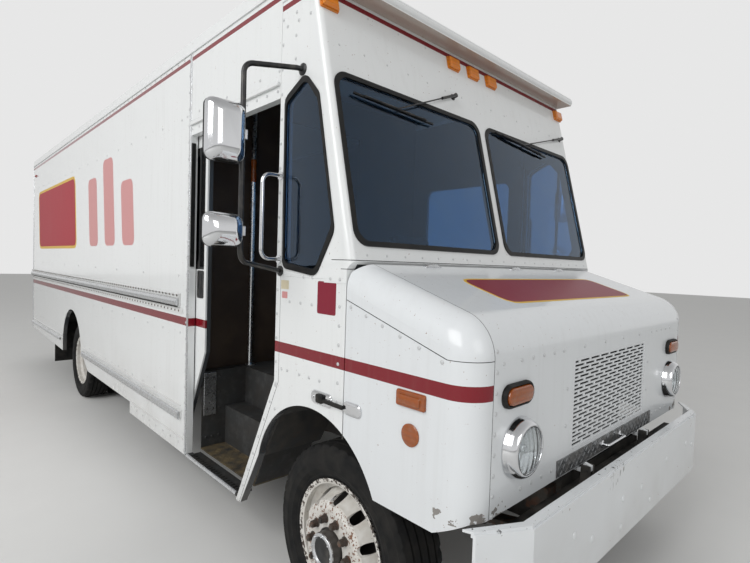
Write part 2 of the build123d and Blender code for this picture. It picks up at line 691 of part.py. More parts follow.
def floor_deck():
    """Cab and load floor on sills and cross bearers, cut for wheels, steps and doors."""
    edge = HALF_W - WALL_T - SEAT_GAP
    slab = box((-edge, edge), (DOOR_REAR, BODY_REAR - 60 - SEAT_GAP),
               (FLOOR_TOP - FLOOR_T, FLOOR_TOP))
    cab = box((-FLOOR_HALF, FLOOR_HALF), (FIREWALL_Y + WALL_T + SEAT_GAP, DOOR_REAR),
              (FLOOR_TOP - FLOOR_T, FLOOR_TOP))
    deck = slab + cab
    pocket = box((-edge - 5, -edge + DOOR_T + 3 * RUN_GAP), (DOOR_REAR - 5, 2560),
                 (FLOOR_TOP - FLOOR_T - 5, FLOOR_TOP + 5))
    deck -= pocket
    deck -= mirrored(pocket)
    well = box((470, edge + 5), (WHEELBASE - 460, WHEELBASE + 470),
               (FLOOR_TOP - FLOOR_T - 5, FLOOR_TOP + 5))
    deck -= well
    deck -= mirrored(well)
    deck -= box((-ENGINE_HALF - COVER_GAP, ENGINE_HALF + COVER_GAP),
                (FIREWALL_Y, COVER_REAR - COVER_T), (FLOOR_TOP - FLOOR_T - 5, FLOOR_TOP + 5))
    for side in (-1, 1):
        x = side * (RAIL_X - RAIL_W / 2)
        deck += box((x - 30, x + 30), (DOOR_REAR, RAIL_REAR - 60),
                    (RAIL_TOP + SEAT_GAP, FLOOR_TOP - FLOOR_T))
    for number in range(9):
        y = DOOR_REAR + 60 + number * 640
        if abs(y - WHEELBASE) < 520:
            continue
        deck += box((-edge + 60, edge - 60), (y - 25, y + 25), (RAIL_TOP + 5, FLOOR_TOP - FLOOR_T))
    deck += box((-AISLE_PLATE_HALF, AISLE_PLATE_HALF), (1550, BODY_REAR - 90),
                (FLOOR_TOP, FLOOR_TOP + AISLE_PLATE_T))
    return deck - pocket_gap()


def pocket_gap():
    """Clear way below the floor for the sliding cab doors."""
    edge = HALF_W - WALL_T - SEAT_GAP
    gap = box((-edge - 5, -edge + DOOR_T + 3 * RUN_GAP), (DOOR_REAR - 5, 2560),
              (RAIL_TOP - 10, FLOOR_TOP + 5))
    return gap + mirrored(gap)


WHEEL_BOX_T = 6.0
WHEEL_BOX_TOP = 960.0


def wheel_houses():
    """Curved liners over the front wheels and boxes over the rear ones."""
    edge = HALF_W - WALL_T - SEAT_GAP
    outer = [(FIREWALL_Y + WALL_T + 1, FLOOR_TOP), (FIREWALL_Y + WALL_T + 1, 945), (300, 945),
             (455, 830), (560, 660), (600, 590), (585, 585), (545, 650), (443, 822), (296, 937),
             (FIREWALL_Y + WALL_T + 9, 937), (FIREWALL_Y + WALL_T + 9, FLOOR_TOP)]
    liner = prism(outer, "X", (FLOOR_HALF + 10, edge))
    cheek = prism([(FIREWALL_Y + WALL_T + 1, FLOOR_TOP + 1), (FIREWALL_Y + WALL_T + 1, 945),
                   (300, 945), (440, FLOOR_TOP + 1)], "X", (FLOOR_HALF + 4, FLOOR_HALF + 11))
    shell = box((462, edge), (WHEELBASE - 468, WHEELBASE + 478), (FLOOR_TOP + SEAT_GAP, WHEEL_BOX_TOP))
    inside = box((462 + WHEEL_BOX_T, edge + 5), (WHEELBASE - 462, WHEELBASE + 472),
                 (FLOOR_TOP - 5, WHEEL_BOX_TOP - WHEEL_BOX_T))
    return together(both_sides(liner + cheek), both_sides(shell - inside))


STEP_Z = (350.0, 596.0)
STEP_T = 6.0
STEP_INNER = 830.0


def step_wells():
    """Two steps up to the cab floor inside each door, with their risers and ends."""
    edge = HALF_W - WALL_T - DOOR_T - 3 * RUN_GAP
    first, second = STEP_Z
    section = [(edge, first), (STEP_INNER, first), (STEP_INNER, second), (FLOOR_HALF + SEAT_GAP, second),
               (FLOOR_HALF + SEAT_GAP, FLOOR_TOP), (FLOOR_HALF + SEAT_GAP + STEP_T, FLOOR_TOP),
               (FLOOR_HALF + SEAT_GAP + STEP_T, second + STEP_T), (STEP_INNER + STEP_T, second + STEP_T),
               (STEP_INNER + STEP_T, first + STEP_T), (edge, first + STEP_T)]
    well = prism(section, "Y", (jamb_y(first), DOOR_REAR - 2))
    front = prism([(jamb_y(first), first), (jamb_y(first) + STEP_T, first),
                   (jamb_y(FLOOR_TOP) + STEP_T, FLOOR_TOP), (jamb_y(FLOOR_TOP), FLOOR_TOP)],
                  "X", (FLOOR_HALF + SEAT_GAP, edge))
    corner = prism([(jamb_y(first) + 1, second), (jamb_y(first) + 1, FLOOR_TOP),
                    (jamb_y(FLOOR_TOP) + 1, FLOOR_TOP), (jamb_y(second), second)],
                   "X", (FLOOR_HALF + SEAT_GAP, FLOOR_HALF + SEAT_GAP + STEP_T))
    tread = prism([(jamb_y(second), second), (jamb_y(first) + 1, second),
                   (jamb_y(first) + 1, second + STEP_T), (jamb_y(second), second + STEP_T)],
                  "X", (FLOOR_HALF + SEAT_GAP, STEP_INNER + STEP_T))
    riser = prism([(jamb_y(first) + 1, first), (jamb_y(first) + 1, second),
                   (jamb_y(second), second)], "X", (STEP_INNER, STEP_INNER + STEP_T))
    rear = box((FLOOR_HALF + SEAT_GAP, edge), (DOOR_REAR - STEP_T - 2, DOOR_REAR - 2), (first, FLOOR_TOP))
    return both_sides(well + front + corner + tread + riser + rear)


def door_sills():
    """Sill bar along the foot of each door opening, from the jamb foot to the pillar."""
    low, high, rear = 318, 340, DOOR_REAR - SEAT_GAP
    bar = prism([(jamb_y(low) + SEAT_GAP * 1.2, low), (jamb_y(high) + SEAT_GAP * 1.2, high),
                 (rear, high), (rear, low)], "X", (HALF_W - WALL_T, HALF_W))
    lip = box((HALF_W - WALL_T - DOOR_T - 3 * RUN_GAP, HALF_W - WALL_T + 1), (SILL_FRONT, rear),
              (low, low + 12))
    return both_sides(bar + lip)


# Sliding cab doors
DOOR_WINDOW_INSET = 85.0
DOOR_WINDOW_LOW = 1500.0


def door_outline(grow=0.0):
    """Side view of a shut cab door, with the slanted foot that follows the jamb."""
    lap = DOOR_LAP
    return [(CAB_REAR - lap, DOOR_TOP + 16), (CAB_REAR - lap, JAMB_KINK_Z - 10),
            (jamb_y(SILL_Z + 10) - lap, SILL_Z + 10), (DOOR_REAR + lap, SILL_Z + 10),
            (DOOR_REAR + lap, DOOR_TOP + 16)]


def door_window():
    """Corners of the window in a shut cab door."""
    return rect(CAB_REAR + DOOR_WINDOW_INSET, DOOR_REAR - DOOR_WINDOW_INSET,
                DOOR_WINDOW_LOW, DOOR_TOP - DOOR_WINDOW_INSET)


def cab_door():
    """Shut right-hand cab door, hollowed round its window, with a pull recess."""
    x1 = -(HALF_W - WALL_T - RUN_GAP)
    x0 = x1 + DOOR_T
    panel = prism(door_outline(), "X", (x1, x0))
    panel -= prism(door_window(), "X", (x1 - 5, x0 + 5), 60)
    handle = box((x1 - 4, x1 + 14), (CAB_REAR + 20, CAB_REAR + 62), (1330, 1460))
    tongue = box((-TRACK_X - TONGUE_T / 2, -TRACK_X + TONGUE_T / 2),
                 (CAB_REAR + 20, DOOR_REAR - 20), (DOOR_TOP, TONGUE_TOP))
    return panel - handle + tongue


def cab_door_glass():
    middle = -(HALF_W - WALL_T - RUN_GAP - DOOR_T / 2)
    y0, z0 = door_window()[0]
    y1, z1 = door_window()[2]
    return prism(rect(y0 + SEAT_GAP, y1 - SEAT_GAP, z0 + SEAT_GAP, z1 - SEAT_GAP), "X",
                 (middle - GLASS_T / 2, middle + GLASS_T / 2), 60)


# Chassis
def frame_rails():
    """Ladder frame: two channel rails, cross members and the bumper horns."""
    channel = [(RAIL_X, RAIL_TOP - RAIL_H), (RAIL_X, RAIL_TOP), (RAIL_X - RAIL_W, RAIL_TOP),
               (RAIL_X - RAIL_W, RAIL_TOP - RAIL_T), (RAIL_X - RAIL_T, RAIL_TOP - RAIL_T),
               (RAIL_X - RAIL_T, RAIL_TOP - RAIL_H + RAIL_T),
               (RAIL_X - RAIL_W, RAIL_TOP - RAIL_H + RAIL_T), (RAIL_X - RAIL_W, RAIL_TOP - RAIL_H)]
    rail = prism(channel, "Y", (RAIL_FRONT, RAIL_REAR))
    horn = box((RAIL_X - RAIL_W, RAIL_X), (BUMPER_Y + BUMPER_T + SEAT_GAP, RAIL_FRONT),
               (RAIL_TOP - RAIL_H + 10, RAIL_TOP - 80))
    frame = rail + mirrored(rail) + horn + mirrored(horn)
    for y in CROSS_MEMBERS:
        frame += box((-RAIL_X + RAIL_T / 2, RAIL_X - RAIL_T / 2), (y - 40, y + 40),
                     (RAIL_TOP - 95, RAIL_TOP - 12))
    return frame


CROSS_MEMBERS = [-595.0, 900.0, 2000.0, 3300.0, 5400.0, 6800.0]   # y of each, clear of the shaft


def bumper():
    """Front bumper pressed from thick sheet: rolled top lip, ends bent back."""
    def plan(offset):
        return [(-BUMPER_END_X - offset * 0.4, BUMPER_END_Y + offset),
                (-BUMPER_HALF, BUMPER_Y + offset), (BUMPER_HALF, BUMPER_Y + offset),
                (BUMPER_END_X + offset * 0.4, BUMPER_END_Y + offset)]
    face = plan(0) + list(reversed(plan(BUMPER_T)))
    skin = prism(face, "Z", (BUMPER_LOW, BUMPER_HIGH - BUMPER_LIP / 2))
    lip = prism(plan(6) + list(reversed(plan(BUMPER_LIP))), "Z",
                (BUMPER_HIGH - BUMPER_T, BUMPER_HIGH))
    slope = prism(plan(0) + list(reversed(plan(BUMPER_T + 6))), "Z",
                  (BUMPER_HIGH - BUMPER_LIP / 2, BUMPER_HIGH - BUMPER_T))
    return skin + slope + lip


REAR_BUMPER = (7060.0, 440.0, 560.0, 1000.0)           # y of its face, z, z, half width


def bumpers():
    y, z0, z1, half = REAR_BUMPER
    rear = box((-half, half), (y - 12, y), (z0, z1)) + box((-half, half), (BODY_REAR + 4, y - 1),
                                                           (z1 - 12, z1))
    arm = box((RAIL_X - RAIL_W, RAIL_X), (RAIL_REAR + SEAT_GAP, y - 11), (z0, z1 - 11))
    return together(bumper(), rear + arm + mirrored(arm))


def front_axle():
    """Forged I-beam that drops between the springs, with a kingpin boss at each end."""
    beam = prism([(-760, 385), (-600, 330), (600, 330), (760, 385), (KINGPIN_X, 385),
                  (KINGPIN_X, 435), (750, 435), (590, 400), (-590, 400), (-750, 435),
                  (-KINGPIN_X, 435), (-KINGPIN_X, 385)], "Y", (-38, 38))
    web = box((-570, 570), (-45, -12), (348, 384))
    beam = beam - web - Pos(0, 57, 0) * web
    for side in (-1, 1):
        beam += rod((side * KINGPIN_X, 0, 365), (side * KINGPIN_X, 0, 455), 42)
        beam -= rod((side * KINGPIN_X, 0, 340), (side * KINGPIN_X, 0, 480), KINGPIN_R + FIT_GAP)
    return beam


YOKE_GAP = 1.0


def knuckle():
    """Left steering knuckle: yoke, kingpin, spindle, backing plate and steering arm."""
    x = KINGPIN_X
    yoke = box((x - 40, x + 75), (-40, 40), (320, 500))
    yoke = fillet(yoke.edges().filter_by(Axis.Z), 20)
    yoke -= box((x - 60, x + 46), (-60, 60), (365 - YOKE_GAP, 455 + YOKE_GAP))
    pin = rod((x, 0, 315), (x, 0, 505), KINGPIN_R)
    spindle = rod((x + 60, 0, AXLE_Z), (FRONT_TYRE_X + 92, 0, AXLE_Z), SPINDLE_R)
    arm = prism([(x - 30, 0), (x + 30, 0), (x + 18, TIE_Y + 22), (x - 18, TIE_Y + 22)],
                "Z", (TIE_Z - 10, TIE_Z + 10), 8)
    arm -= rod((x, TIE_Y, TIE_Z - 20), (x, TIE_Y, TIE_Z + 20), TIE_PIN_R + FIT_GAP)
    return yoke + pin + spindle + arm


TIE_Y = 190.0
TIE_Z = 330.0
TIE_PIN_R = 9.0


def tie_rod():
    """Track rod behind the axle, with a ball stud up through each steering arm."""
    x = KINGPIN_X
    bar = rod((-x, TIE_Y, TIE_Z - 34), (x, TIE_Y, TIE_Z - 34), 14)
    stud = rod((x, TIE_Y, TIE_Z - 40), (x, TIE_Y, TIE_Z + 14), TIE_PIN_R)
    ball = Pos(x, TIE_Y, TIE_Z - 34) * Sphere(20)
    return bar + stud + mirrored(stud) + ball + mirrored(ball)


def rear_axle():
    """Banjo housing with tapered tubes, drive pinion nose and hub spindles."""
    y = WHEELBASE
    tube = rod((-REAR_SPINDLE_X, y, AXLE_Z), (REAR_SPINDLE_X, y, AXLE_Z), 48)
    sleeve = rod((-430, y, AXLE_Z), (430, y, AXLE_Z), 66)
    bowl = Pos(0, y, AXLE_Z) * Rot(90, 0, 0) * Cylinder(205, 170)
    bowl = fillet(bowl.edges(), 60)
    nose = rod((0, y - 290, AXLE_Z), (0, y, AXLE_Z), 62)
    housing = tube + sleeve + bowl + nose
    for side in (-1, 1):
        pad = box((SPRING_X - 45, SPRING_X + 45), (y - 60, y + 60), (AXLE_Z + 30, AXLE_Z + 62))
        housing += pad if side > 0 else mirrored(pad)
    return housing


def leaf_pack(y, z_mid, span, rise, leaves, thick):
    """One spring: shortening leaves bent to an arc, stacked downwards."""
    pack = None
    for number in range(leaves):
        share = 1 - 0.8 * number / leaves
        half = span / 2 * share
        lift = rise * share * share
        top = z_mid - number * thick
        leaf = make_face([
            ThreePointArc((y - half, top + lift), (y, top), (y + half, top + lift)),
            Line((y + half, top + lift), (y + half, top + lift - thick)),
            ThreePointArc((y + half, top + lift - thick), (y, top - thick),
                          (y - half, top + lift - thick)),
            Line((y - half, top + lift - thick), (y - half, top + lift)),
        ])
        plane = Plane(origin=(SPRING_X - SPRING_W / 2, 0, 0), x_dir=(0, 1, 0), z_dir=(1, 0, 0))
        solid = extrude(plane * leaf, amount=SPRING_W, dir=(1, 0, 0))
        pack = solid if pack is None else pack + solid
    return pack


LEAF_T = 12.0
SPRINGS = [  # y, seat z, span, rise, leaves
    (0.0, 400.0, 1150.0, 70.0, 4),
    (WHEELBASE, 464.0, 1400.0, 60.0, 6),
]


def leaf_springs():
    """Springs with hangers to the rails at their ends."""
    solids = []
    for y, seat, span, rise, leaves in SPRINGS:
        top = seat + SEAT_GAP + leaves * LEAF_T
        pack = leaf_pack(y, top, span, rise, leaves, LEAF_T)
        for end in (-1, 1):
            eye_y = y + end * span / 2
            eye_z = top + rise
            pack += rod((SPRING_X - SPRING_W / 2, eye_y, eye_z),
                        (SPRING_X + SPRING_W / 2, eye_y, eye_z), 24)
            pack += box((SPRING_X - 30, SPRING_X + 30), (eye_y - 20, eye_y + 20),
                        (eye_z, RAIL_TOP - 110))
            pack += box((RAIL_X + SEAT_GAP, SPRING_X + 30), (eye_y - 45, eye_y + 45),
                        (RAIL_TOP - 140, RAIL_TOP - 40))
        solids.append(both_sides(pack))
    return together(*solids)


def drive_shaft():
    """Propeller shaft from the gearbox to the rear axle, with its yokes."""
    front = (0, ENGINE_REAR + SEAT_GAP + 400, 550)
    back = (0, WHEELBASE - 290 - SEAT_GAP, AXLE_Z)
    gearbox = box((-150, 150), (ENGINE_REAR + SEAT_GAP, front[1] + 1), (470, 690))
    gearbox = chamfer(gearbox.edges().filter_by(Axis.Y), 50)
    return gearbox + rod(front, (0, back[1] - 40, AXLE_Z + 4), 48) + rod(
        (0, back[1] - 60, AXLE_Z), back, 60)


def fuel_tank():
    """Strapped tank outside the left frame rail."""
    tank = box((RAIL_X + 24, RAIL_X + 470), (1900, 2900), (420, 690))
    tank = fillet(tank.edges().filter_by(Axis.Y), 60)
    for y in (2100, 2700):
        strap = box((RAIL_X + SEAT_GAP, RAIL_X + 480), (y - 25, y + 25), (410, 700))
        strap = fillet(strap.edges().filter_by(Axis.Y), 40)
        tank += strap
    return tank


def exhaust():
    """Silencer beside the right rail and its tail pipe."""
    x = -(RAIL_X + 150)
    can = rod((x, 2700, 560), (x, 3600, 560), 105)
    can = fillet(can.edges(), 20)
    inlet = bent_tube([(-200, 560, 540), (-200, 800, 450), (-330, 1300, 440), (-530, 1900, 440),
                       (x, 2400, 560), (x, 2720, 560)], 38, 120)
    tail = rod((x, 3580, 560), (x, 4000, 560), 34)
    hangers = (box((x - 12, -RAIL_X - SEAT_GAP), (2850, 2880), (600, 690))
               + box((x - 12, -RAIL_X - SEAT_GAP), (3400, 3430), (600, 690)))
    return can + inlet + tail + hangers


def mud_flaps():
    flap = box((640, HALF_W - 46), (5660, 5670), (200, 760))
    bracket = box((RAIL_X + SEAT_GAP, HALF_W - 46), (5640, 5660), (700, 760))
    return both_sides(flap + bracket)


# Wheels and tyres
def wheel_axis(profile, x, side):
    """Turns a (radius, offset outward) profile about the wheel axis at x."""
    face = make_face(Polyline(*[(side * o, r) for r, o in profile], close=True))
    solid = revolve(Plane.XY * face, axis=Axis.X)
    return Pos(x, 0, AXLE_Z) * solid


def tyre(x, y=0.0):
    """One tyre: flat tread with rounded shoulders and bulged side walls."""
    half = TYRE_W / 2
    tread = half * 0.86
    bead = RIM_W / 2 - 6
    seat = RIM_BEAD_R + SEAT_GAP
    profile = make_face([
        Polyline((-tread, TYRE_R - 8), (-tread + 26, TYRE_R), (tread - 26, TYRE_R),
                 (tread, TYRE_R - 8)),
        ThreePointArc((tread, TYRE_R - 8), (half, (TYRE_R + seat) / 2 + 8), (bead, RIM_FLANGE_R + 4)),
        Polyline((bead, RIM_FLANGE_R + 4), (bead - 10, RIM_FLANGE_R - 2), (bead - 12, seat),
                 (bead - 26, seat), (bead - 26, RIM_FLANGE_R + 6), (bead - 14, RIM_FLANGE_R + 30),
                 (half - 16, (TYRE_R + seat) / 2), (tread - 16, TYRE_R - 26),
                 (-tread + 16, TYRE_R - 26), (-half + 16, (TYRE_R + seat) / 2),
                 (-bead + 14, RIM_FLANGE_R + 30), (-bead + 26, RIM_FLANGE_R + 6),
                 (-bead + 26, seat), (-bead + 12, seat), (-bead + 10, RIM_FLANGE_R - 2),
                 (-bead, RIM_FLANGE_R + 4)),
        ThreePointArc((-bead, RIM_FLANGE_R + 4), (-half, (TYRE_R + seat) / 2 + 8),
                      (-tread, TYRE_R - 8)),
    ])
    return Pos(x, y, AXLE_Z) * revolve(profile, axis=Axis.X)


def rim_profile(face_out):
    """Rim and disc of one wheel: (radius, offset), the disc's face pushed to face_out."""
    half = RIM_W / 2
    well_r = RIM_BEAD_R - 26
    t = RIM_T
    disc_r = NUT_CIRCLE / 2 + 34
    return [
        (RIM_FLANGE_R, half), (RIM_BEAD_R, half - 8), (RIM_BEAD_R, half - 34), (well_r, half - 52),
        (well_r, -half + 52), (RIM_BEAD_R, -half + 34), (RIM_BEAD_R, -half + 8),
        (RIM_FLANGE_R, -half), (RIM_FLANGE_R - t, -half), (RIM_BEAD_R - t, -half + 6),
        (RIM_BEAD_R - t, -half + 36), (well_r - t, -half + 54), (well_r - t, 6),
        (disc_r + 26, face_out - t - 12), (disc_r, face_out - t), (HUB_BORE_R, face_out - t),
        (HUB_BORE_R, face_out), (disc_r + 4, face_out), (disc_r + 34, face_out - 10),
        (well_r - t, 24), (well_r - t, half - 54), (RIM_BEAD_R - t, half - 36),
        (RIM_BEAD_R - t, half - 6), (RIM_FLANGE_R - t, half),
    ]


def disc_wheel(x, side, face_out):
    """One disc wheel with ten hand holes and ten wheel nuts."""
    wheel = wheel_axis(rim_profile(face_out), x, side)
    for number in range(NUTS):
        angle = 2 * pi * number / NUTS
        y = HAND_HOLE_CIRCLE_R * sin(angle)
        z = HAND_HOLE_CIRCLE_R * cos(angle)
        hole = Pos(x + side * face_out / 2, y, AXLE_Z + z) * Rot(0, 90, 0) * Cylinder(
            HAND_HOLE_R, abs(face_out) + 70)
        wheel -= hole
    return wheel


FRONT_FACE_OUT = 128.0     # nut face of a front wheel, outward of the tyre's centre plane
REAR_FACE_IN = -122.0      # nut face of an outer rear wheel, inboard of its centre plane
REAR_SPINDLE_X = 880.0


def front_hub(side):
    """Hub and brake drum on the knuckle's spindle."""
    x = side * FRONT_TYRE_X
    inner = side * (KINGPIN_X + 88)
    face = x + side * (FRONT_FACE_OUT - RIM_T - SEAT_GAP)
    hub = rod((inner, 0, AXLE_Z), (face + side * 46, 0, AXLE_Z), HUB_R)
    flange = rod((face - side * 16, 0, AXLE_Z), (face, 0, AXLE_Z), NUT_CIRCLE / 2 + 26)
    drum = rod((inner, 0, AXLE_Z), (inner + side * 76, 0, AXLE_Z), DRUM_R)
    hub = hub + flange + drum
    hub -= rod((inner - side * 5, 0, AXLE_Z), (side * (FRONT_TYRE_X + 94), 0, AXLE_Z),
               SPINDLE_R + FIT_GAP)
    return hub


def wheel_nuts(x, y, face, side, length):
    """Ten nuts on their studs, as one ring of solids seated on the disc."""
    nuts = []
    for number in range(NUTS):
        angle = 2 * pi * (number + 0.5) / NUTS
        centre = Vector(face, y + NUT_CIRCLE / 2 * sin(angle), AXLE_Z + NUT_CIRCLE / 2 * cos(angle))
        plane = Plane(origin=centre, z_dir=(side, 0, 0))
        nuts.append(extrude(plane * RegularPolygon(16, 6), amount=length))
    return nuts


def front_wheel(side):
    """Front rim with its nuts, as one node."""
    x = side * FRONT_TYRE_X
    wheel = disc_wheel(x, side, FRONT_FACE_OUT)
    for nut in wheel_nuts(x, 0, x + side * (FRONT_FACE_OUT - 1), side, 26):
        wheel += nut
    return wheel


def rear_wheel(side):
    """Twin rear rims, discs back to back, with nuts on the outer one."""
    outer_x = side * REAR_OUTER_X
    inner_x = side * (REAR_OUTER_X - DUAL_PITCH)
    outer = disc_wheel(outer_x, -side, RIM_T - REAR_FACE_IN)
    inner_out = DUAL_PITCH + REAR_FACE_IN - RIM_T - SEAT_GAP
    inner = disc_wheel(inner_x, side, inner_out)
    for nut in wheel_nuts(outer_x, 0, outer_x + side * (REAR_FACE_IN - 1), side, 26):
        outer += nut
    return Pos(0, WHEELBASE, 0) * together(outer, inner)


def rear_hub(side):
    """Rear hub and drum, running on the axle tube."""
    seat = REAR_OUTER_X + REAR_FACE_IN - 2 * RIM_T - 2 * SEAT_GAP
    hub = rod((side * (seat - 100), 0, AXLE_Z), (side * (REAR_SPINDLE_X + 34), 0, AXLE_Z), HUB_R)
    flange = rod((side * (seat - 18), 0, AXLE_Z), (side * seat, 0, AXLE_Z), NUT_CIRCLE / 2 + 26)
    drum = rod((side * (seat - 210), 0, AXLE_Z), (side * (seat - 92), 0, AXLE_Z), DRUM_R - 4)
    hub = hub + flange + drum
    hub -= rod((side * (seat - 220), 0, AXLE_Z), (side * (REAR_SPINDLE_X + 4), 0, AXLE_Z),
               48 + FIT_GAP)
    return Pos(0, WHEELBASE, 0) * hub


# Inside the cab
SEAT_X = 560.0
SEAT_Y = 760.0
WHEEL_HUB = (560.0, 330.0, 1390.0)
COLUMN_FOOT = (560.0, 40.0, 960.0)
STEER_WHEEL_R = 225.0


def column_axis():
    return (Vector(*WHEEL_HUB) - Vector(*COLUMN_FOOT)).normalized()


def steering_column():
    top = Vector(*WHEEL_HUB) - column_axis() * SEAT_GAP
    tube = rod(COLUMN_FOOT, tuple(top), 32)
    foot = box((500, 620), (FIREWALL_Y + WALL_T + SEAT_GAP, 80), (FLOOR_TOP + 106, 985))
    return tube + foot


def steering_wheel():
    """Two-spoke wheel with a thick rim, drawn flat and then set on the column."""
    circle = Plane(origin=(STEER_WHEEL_R - 14, 0, 30), x_dir=(1, 0, 0), z_dir=(0, 1, 0))
    ring = revolve(circle * Circle(14), axis=Axis.Z)
    hub = Pos(0, 0, 17) * Cylinder(48, 34)
    bar = Pos(0, 0, 24) * Box(2 * STEER_WHEEL_R - 30, 34, 14)
    place = Plane(origin=WHEEL_HUB, x_dir=(1, 0, 0), z_dir=tuple(column_axis()))
    return place * (ring + hub + bar)


def dashboard():
    """Padded cowl shelf and instrument box behind the windshield's foot."""
    half = HALF_W - WALL_T - SEAT_GAP
    front = FIREWALL_Y + WALL_T + SEAT_GAP
    shelf = prism([(front, 1330), (front, 1500), (150, 1500), (190, 1440), (170, 1330)],
                  "X", (-half, half), 0)
    pod = prism([(150, 1340), (150, 1480), (215, 1462), (235, 1350)], "X", (340, 800), 8)
    return shelf + pod


def driver_seat():
    """Seat on its pedestal: base, cushion and back as one closed form."""
    x0, x1 = SEAT_X - 200, SEAT_X + 220
    pedestal = box((x0 + 100, x1 - 100), (SEAT_Y - 60, SEAT_Y + 240), (FLOOR_TOP + SEAT_GAP, 1090))
    side = [(SEAT_Y - 200, 1090), (SEAT_Y + 260, 1080), (SEAT_Y + 330, 1130),
            (SEAT_Y + 430, 1760), (SEAT_Y + 330, 1790), (SEAT_Y + 215, 1220),
            (SEAT_Y - 180, 1220), (SEAT_Y - 215, 1170)]
    return pedestal + prism(side, "X", (x0, x1), 30)


JAMB_LOOP = (1560.0, 1940.0, 95.0)                     # z, z, reach from the jamb


def grab_handles():
    """Chrome loop on each front jamb, beside the door opening."""
    z0, z1, reach = JAMB_LOOP
    y = CAB_REAR - 18
    x = HALF_W + 4
    loop = bent_tube([(x, y, z0), (HALF_W + reach, y, z0), (HALF_W + reach, y, z1),
                      (x, y, z1)], 9, 40)
    pads = (rod((HALF_W + SEAT_GAP, y, z0), (x + 2, y, z0), 20)
            + rod((HALF_W + SEAT_GAP, y, z1), (x + 2, y, z1), 20))
    return both_sides(loop + pads)


# Outside fittings
MIRROR_X = HALF_W + 262.0
MIRROR_Y = 300.0
MIRROR_TOP = 2335.0
MIRROR_FOOT = 1545.0
MIRROR_HEADS = [  # z low, z high, width, depth
    (1930.0, 2170.0, 165.0, 70.0),
    (1600.0, 1735.0, 165.0, 60.0),
]


def mirrors():
    """Looped black arm on each side with a tall flat head and a small lower one."""
    x = MIRROR_X
    arm = bent_tube([(HALF_W + 6, 272, MIRROR_TOP + 42), (HALF_W + 30, 276, MIRROR_TOP + 42),
                     (x, MIRROR_Y, MIRROR_TOP), (x, MIRROR_Y, MIRROR_FOOT),
                     (HALF_W + 6, 412, MIRROR_FOOT - 38)], 11, [18, 45, 45])
    pads = (rod((HALF_W + SEAT_GAP, 272, MIRROR_TOP + 42), (HALF_W + 8, 272, MIRROR_TOP + 42), 26)
            + rod((HALF_W + SEAT_GAP, 412, MIRROR_FOOT - 38), (HALF_W + 8, 412, MIRROR_FOOT - 38), 24))
    assembly = arm + pads
    for z0, z1, width, depth in MIRROR_HEADS:
        head = prism([(x - 8, MIRROR_Y - depth + 20), (x - 8 + width, MIRROR_Y - depth + 20),
                      (x - 8 + width, MIRROR_Y + 20), (x - 8, MIRROR_Y + 20)], "Z", (z0, z1), 14)
        assembly += Pos(0, 0, 0) * head
    return both_sides(assembly)


WIPERS = [  # pivot x, z, then the blade's two ends x, z, all on the windshield face
    (-228.0, SOFFIT_Z - 271, -962.0, SOFFIT_Z - 456, -451.0, SOFFIT_Z - 476),
    (1000.0, SOFFIT_Z - 251, 137.0, SOFFIT_Z - 388, 707.0, SOFFIT_Z - 433),
]


def wipers():
    """Wipers hung from the header, parked across each pane."""
    slope = cos(radians(FACE_LEAN))
    pieces = []
    for x, z, x0, z0, x1, z1 in WIPERS:
        def lifted(px, pz, out):
            height = (pz - FACE_Z) / slope
            return tuple(on_face(height, -out).origin + Vector(px, 0, 0))
        plane = on_face((z - FACE_Z) / slope)
        boss = extrude(plane * Pos(x, 0, SEAT_GAP) * Circle(17), amount=28)
        arm = rod(lifted(x, z, 22), lifted((x0 + x1) / 2, (z0 + z1) / 2, 18), 6)
        blade = rod(lifted(x0, z0, 16), lifted(x1, z1, 16), 8)
        pieces.append(boss + arm + blade)
    return together(*pieces)


ROOF_LAMP_Z = SOFFIT_Z - 73.0
ROOF_LAMP_X = [56.0 - HALF_W, -180.0, 0.0, 180.0, HALF_W - 56.0]
ROOF_LAMP = (84.0, 58.0, 26.0)                         # width, height, depth


def marker_lamps():
    """Amber lamps over the windshield and the red lamps at the rear."""
    width, height, depth = ROOF_LAMP
    lamps = []
    up = (ROOF_LAMP_Z - FACE_Z) / cos(radians(FACE_LEAN))
    for x in ROOF_LAMP_X:
        body = extrude(on_face(up) * Pos(x, 0, SEAT_GAP) * Rectangle(width, height), amount=depth)
        lamps.append(chamfer(body.faces().sort_by(Axis.Y)[0].edges(), 7))
    return together(*lamps)


TAIL_LAMPS = [  # x, z, radius
    (HALF_W - 74, 1180.0, 32.0), (HALF_W - 74, 1290.0, 32.0),
]


def tail_lamps():
    """Round stop and turn lamps on the rear posts."""
    lamps = []
    for x, z, radius in TAIL_LAMPS:
        lamp = rod((x, BODY_REAR + SEAT_GAP, z), (x, BODY_REAR + 22, z), radius)
        lamps.append(both_sides(fillet(lamp.faces().sort_by(Axis.Y)[-1].edges(), 6)))
    return together(*lamps)


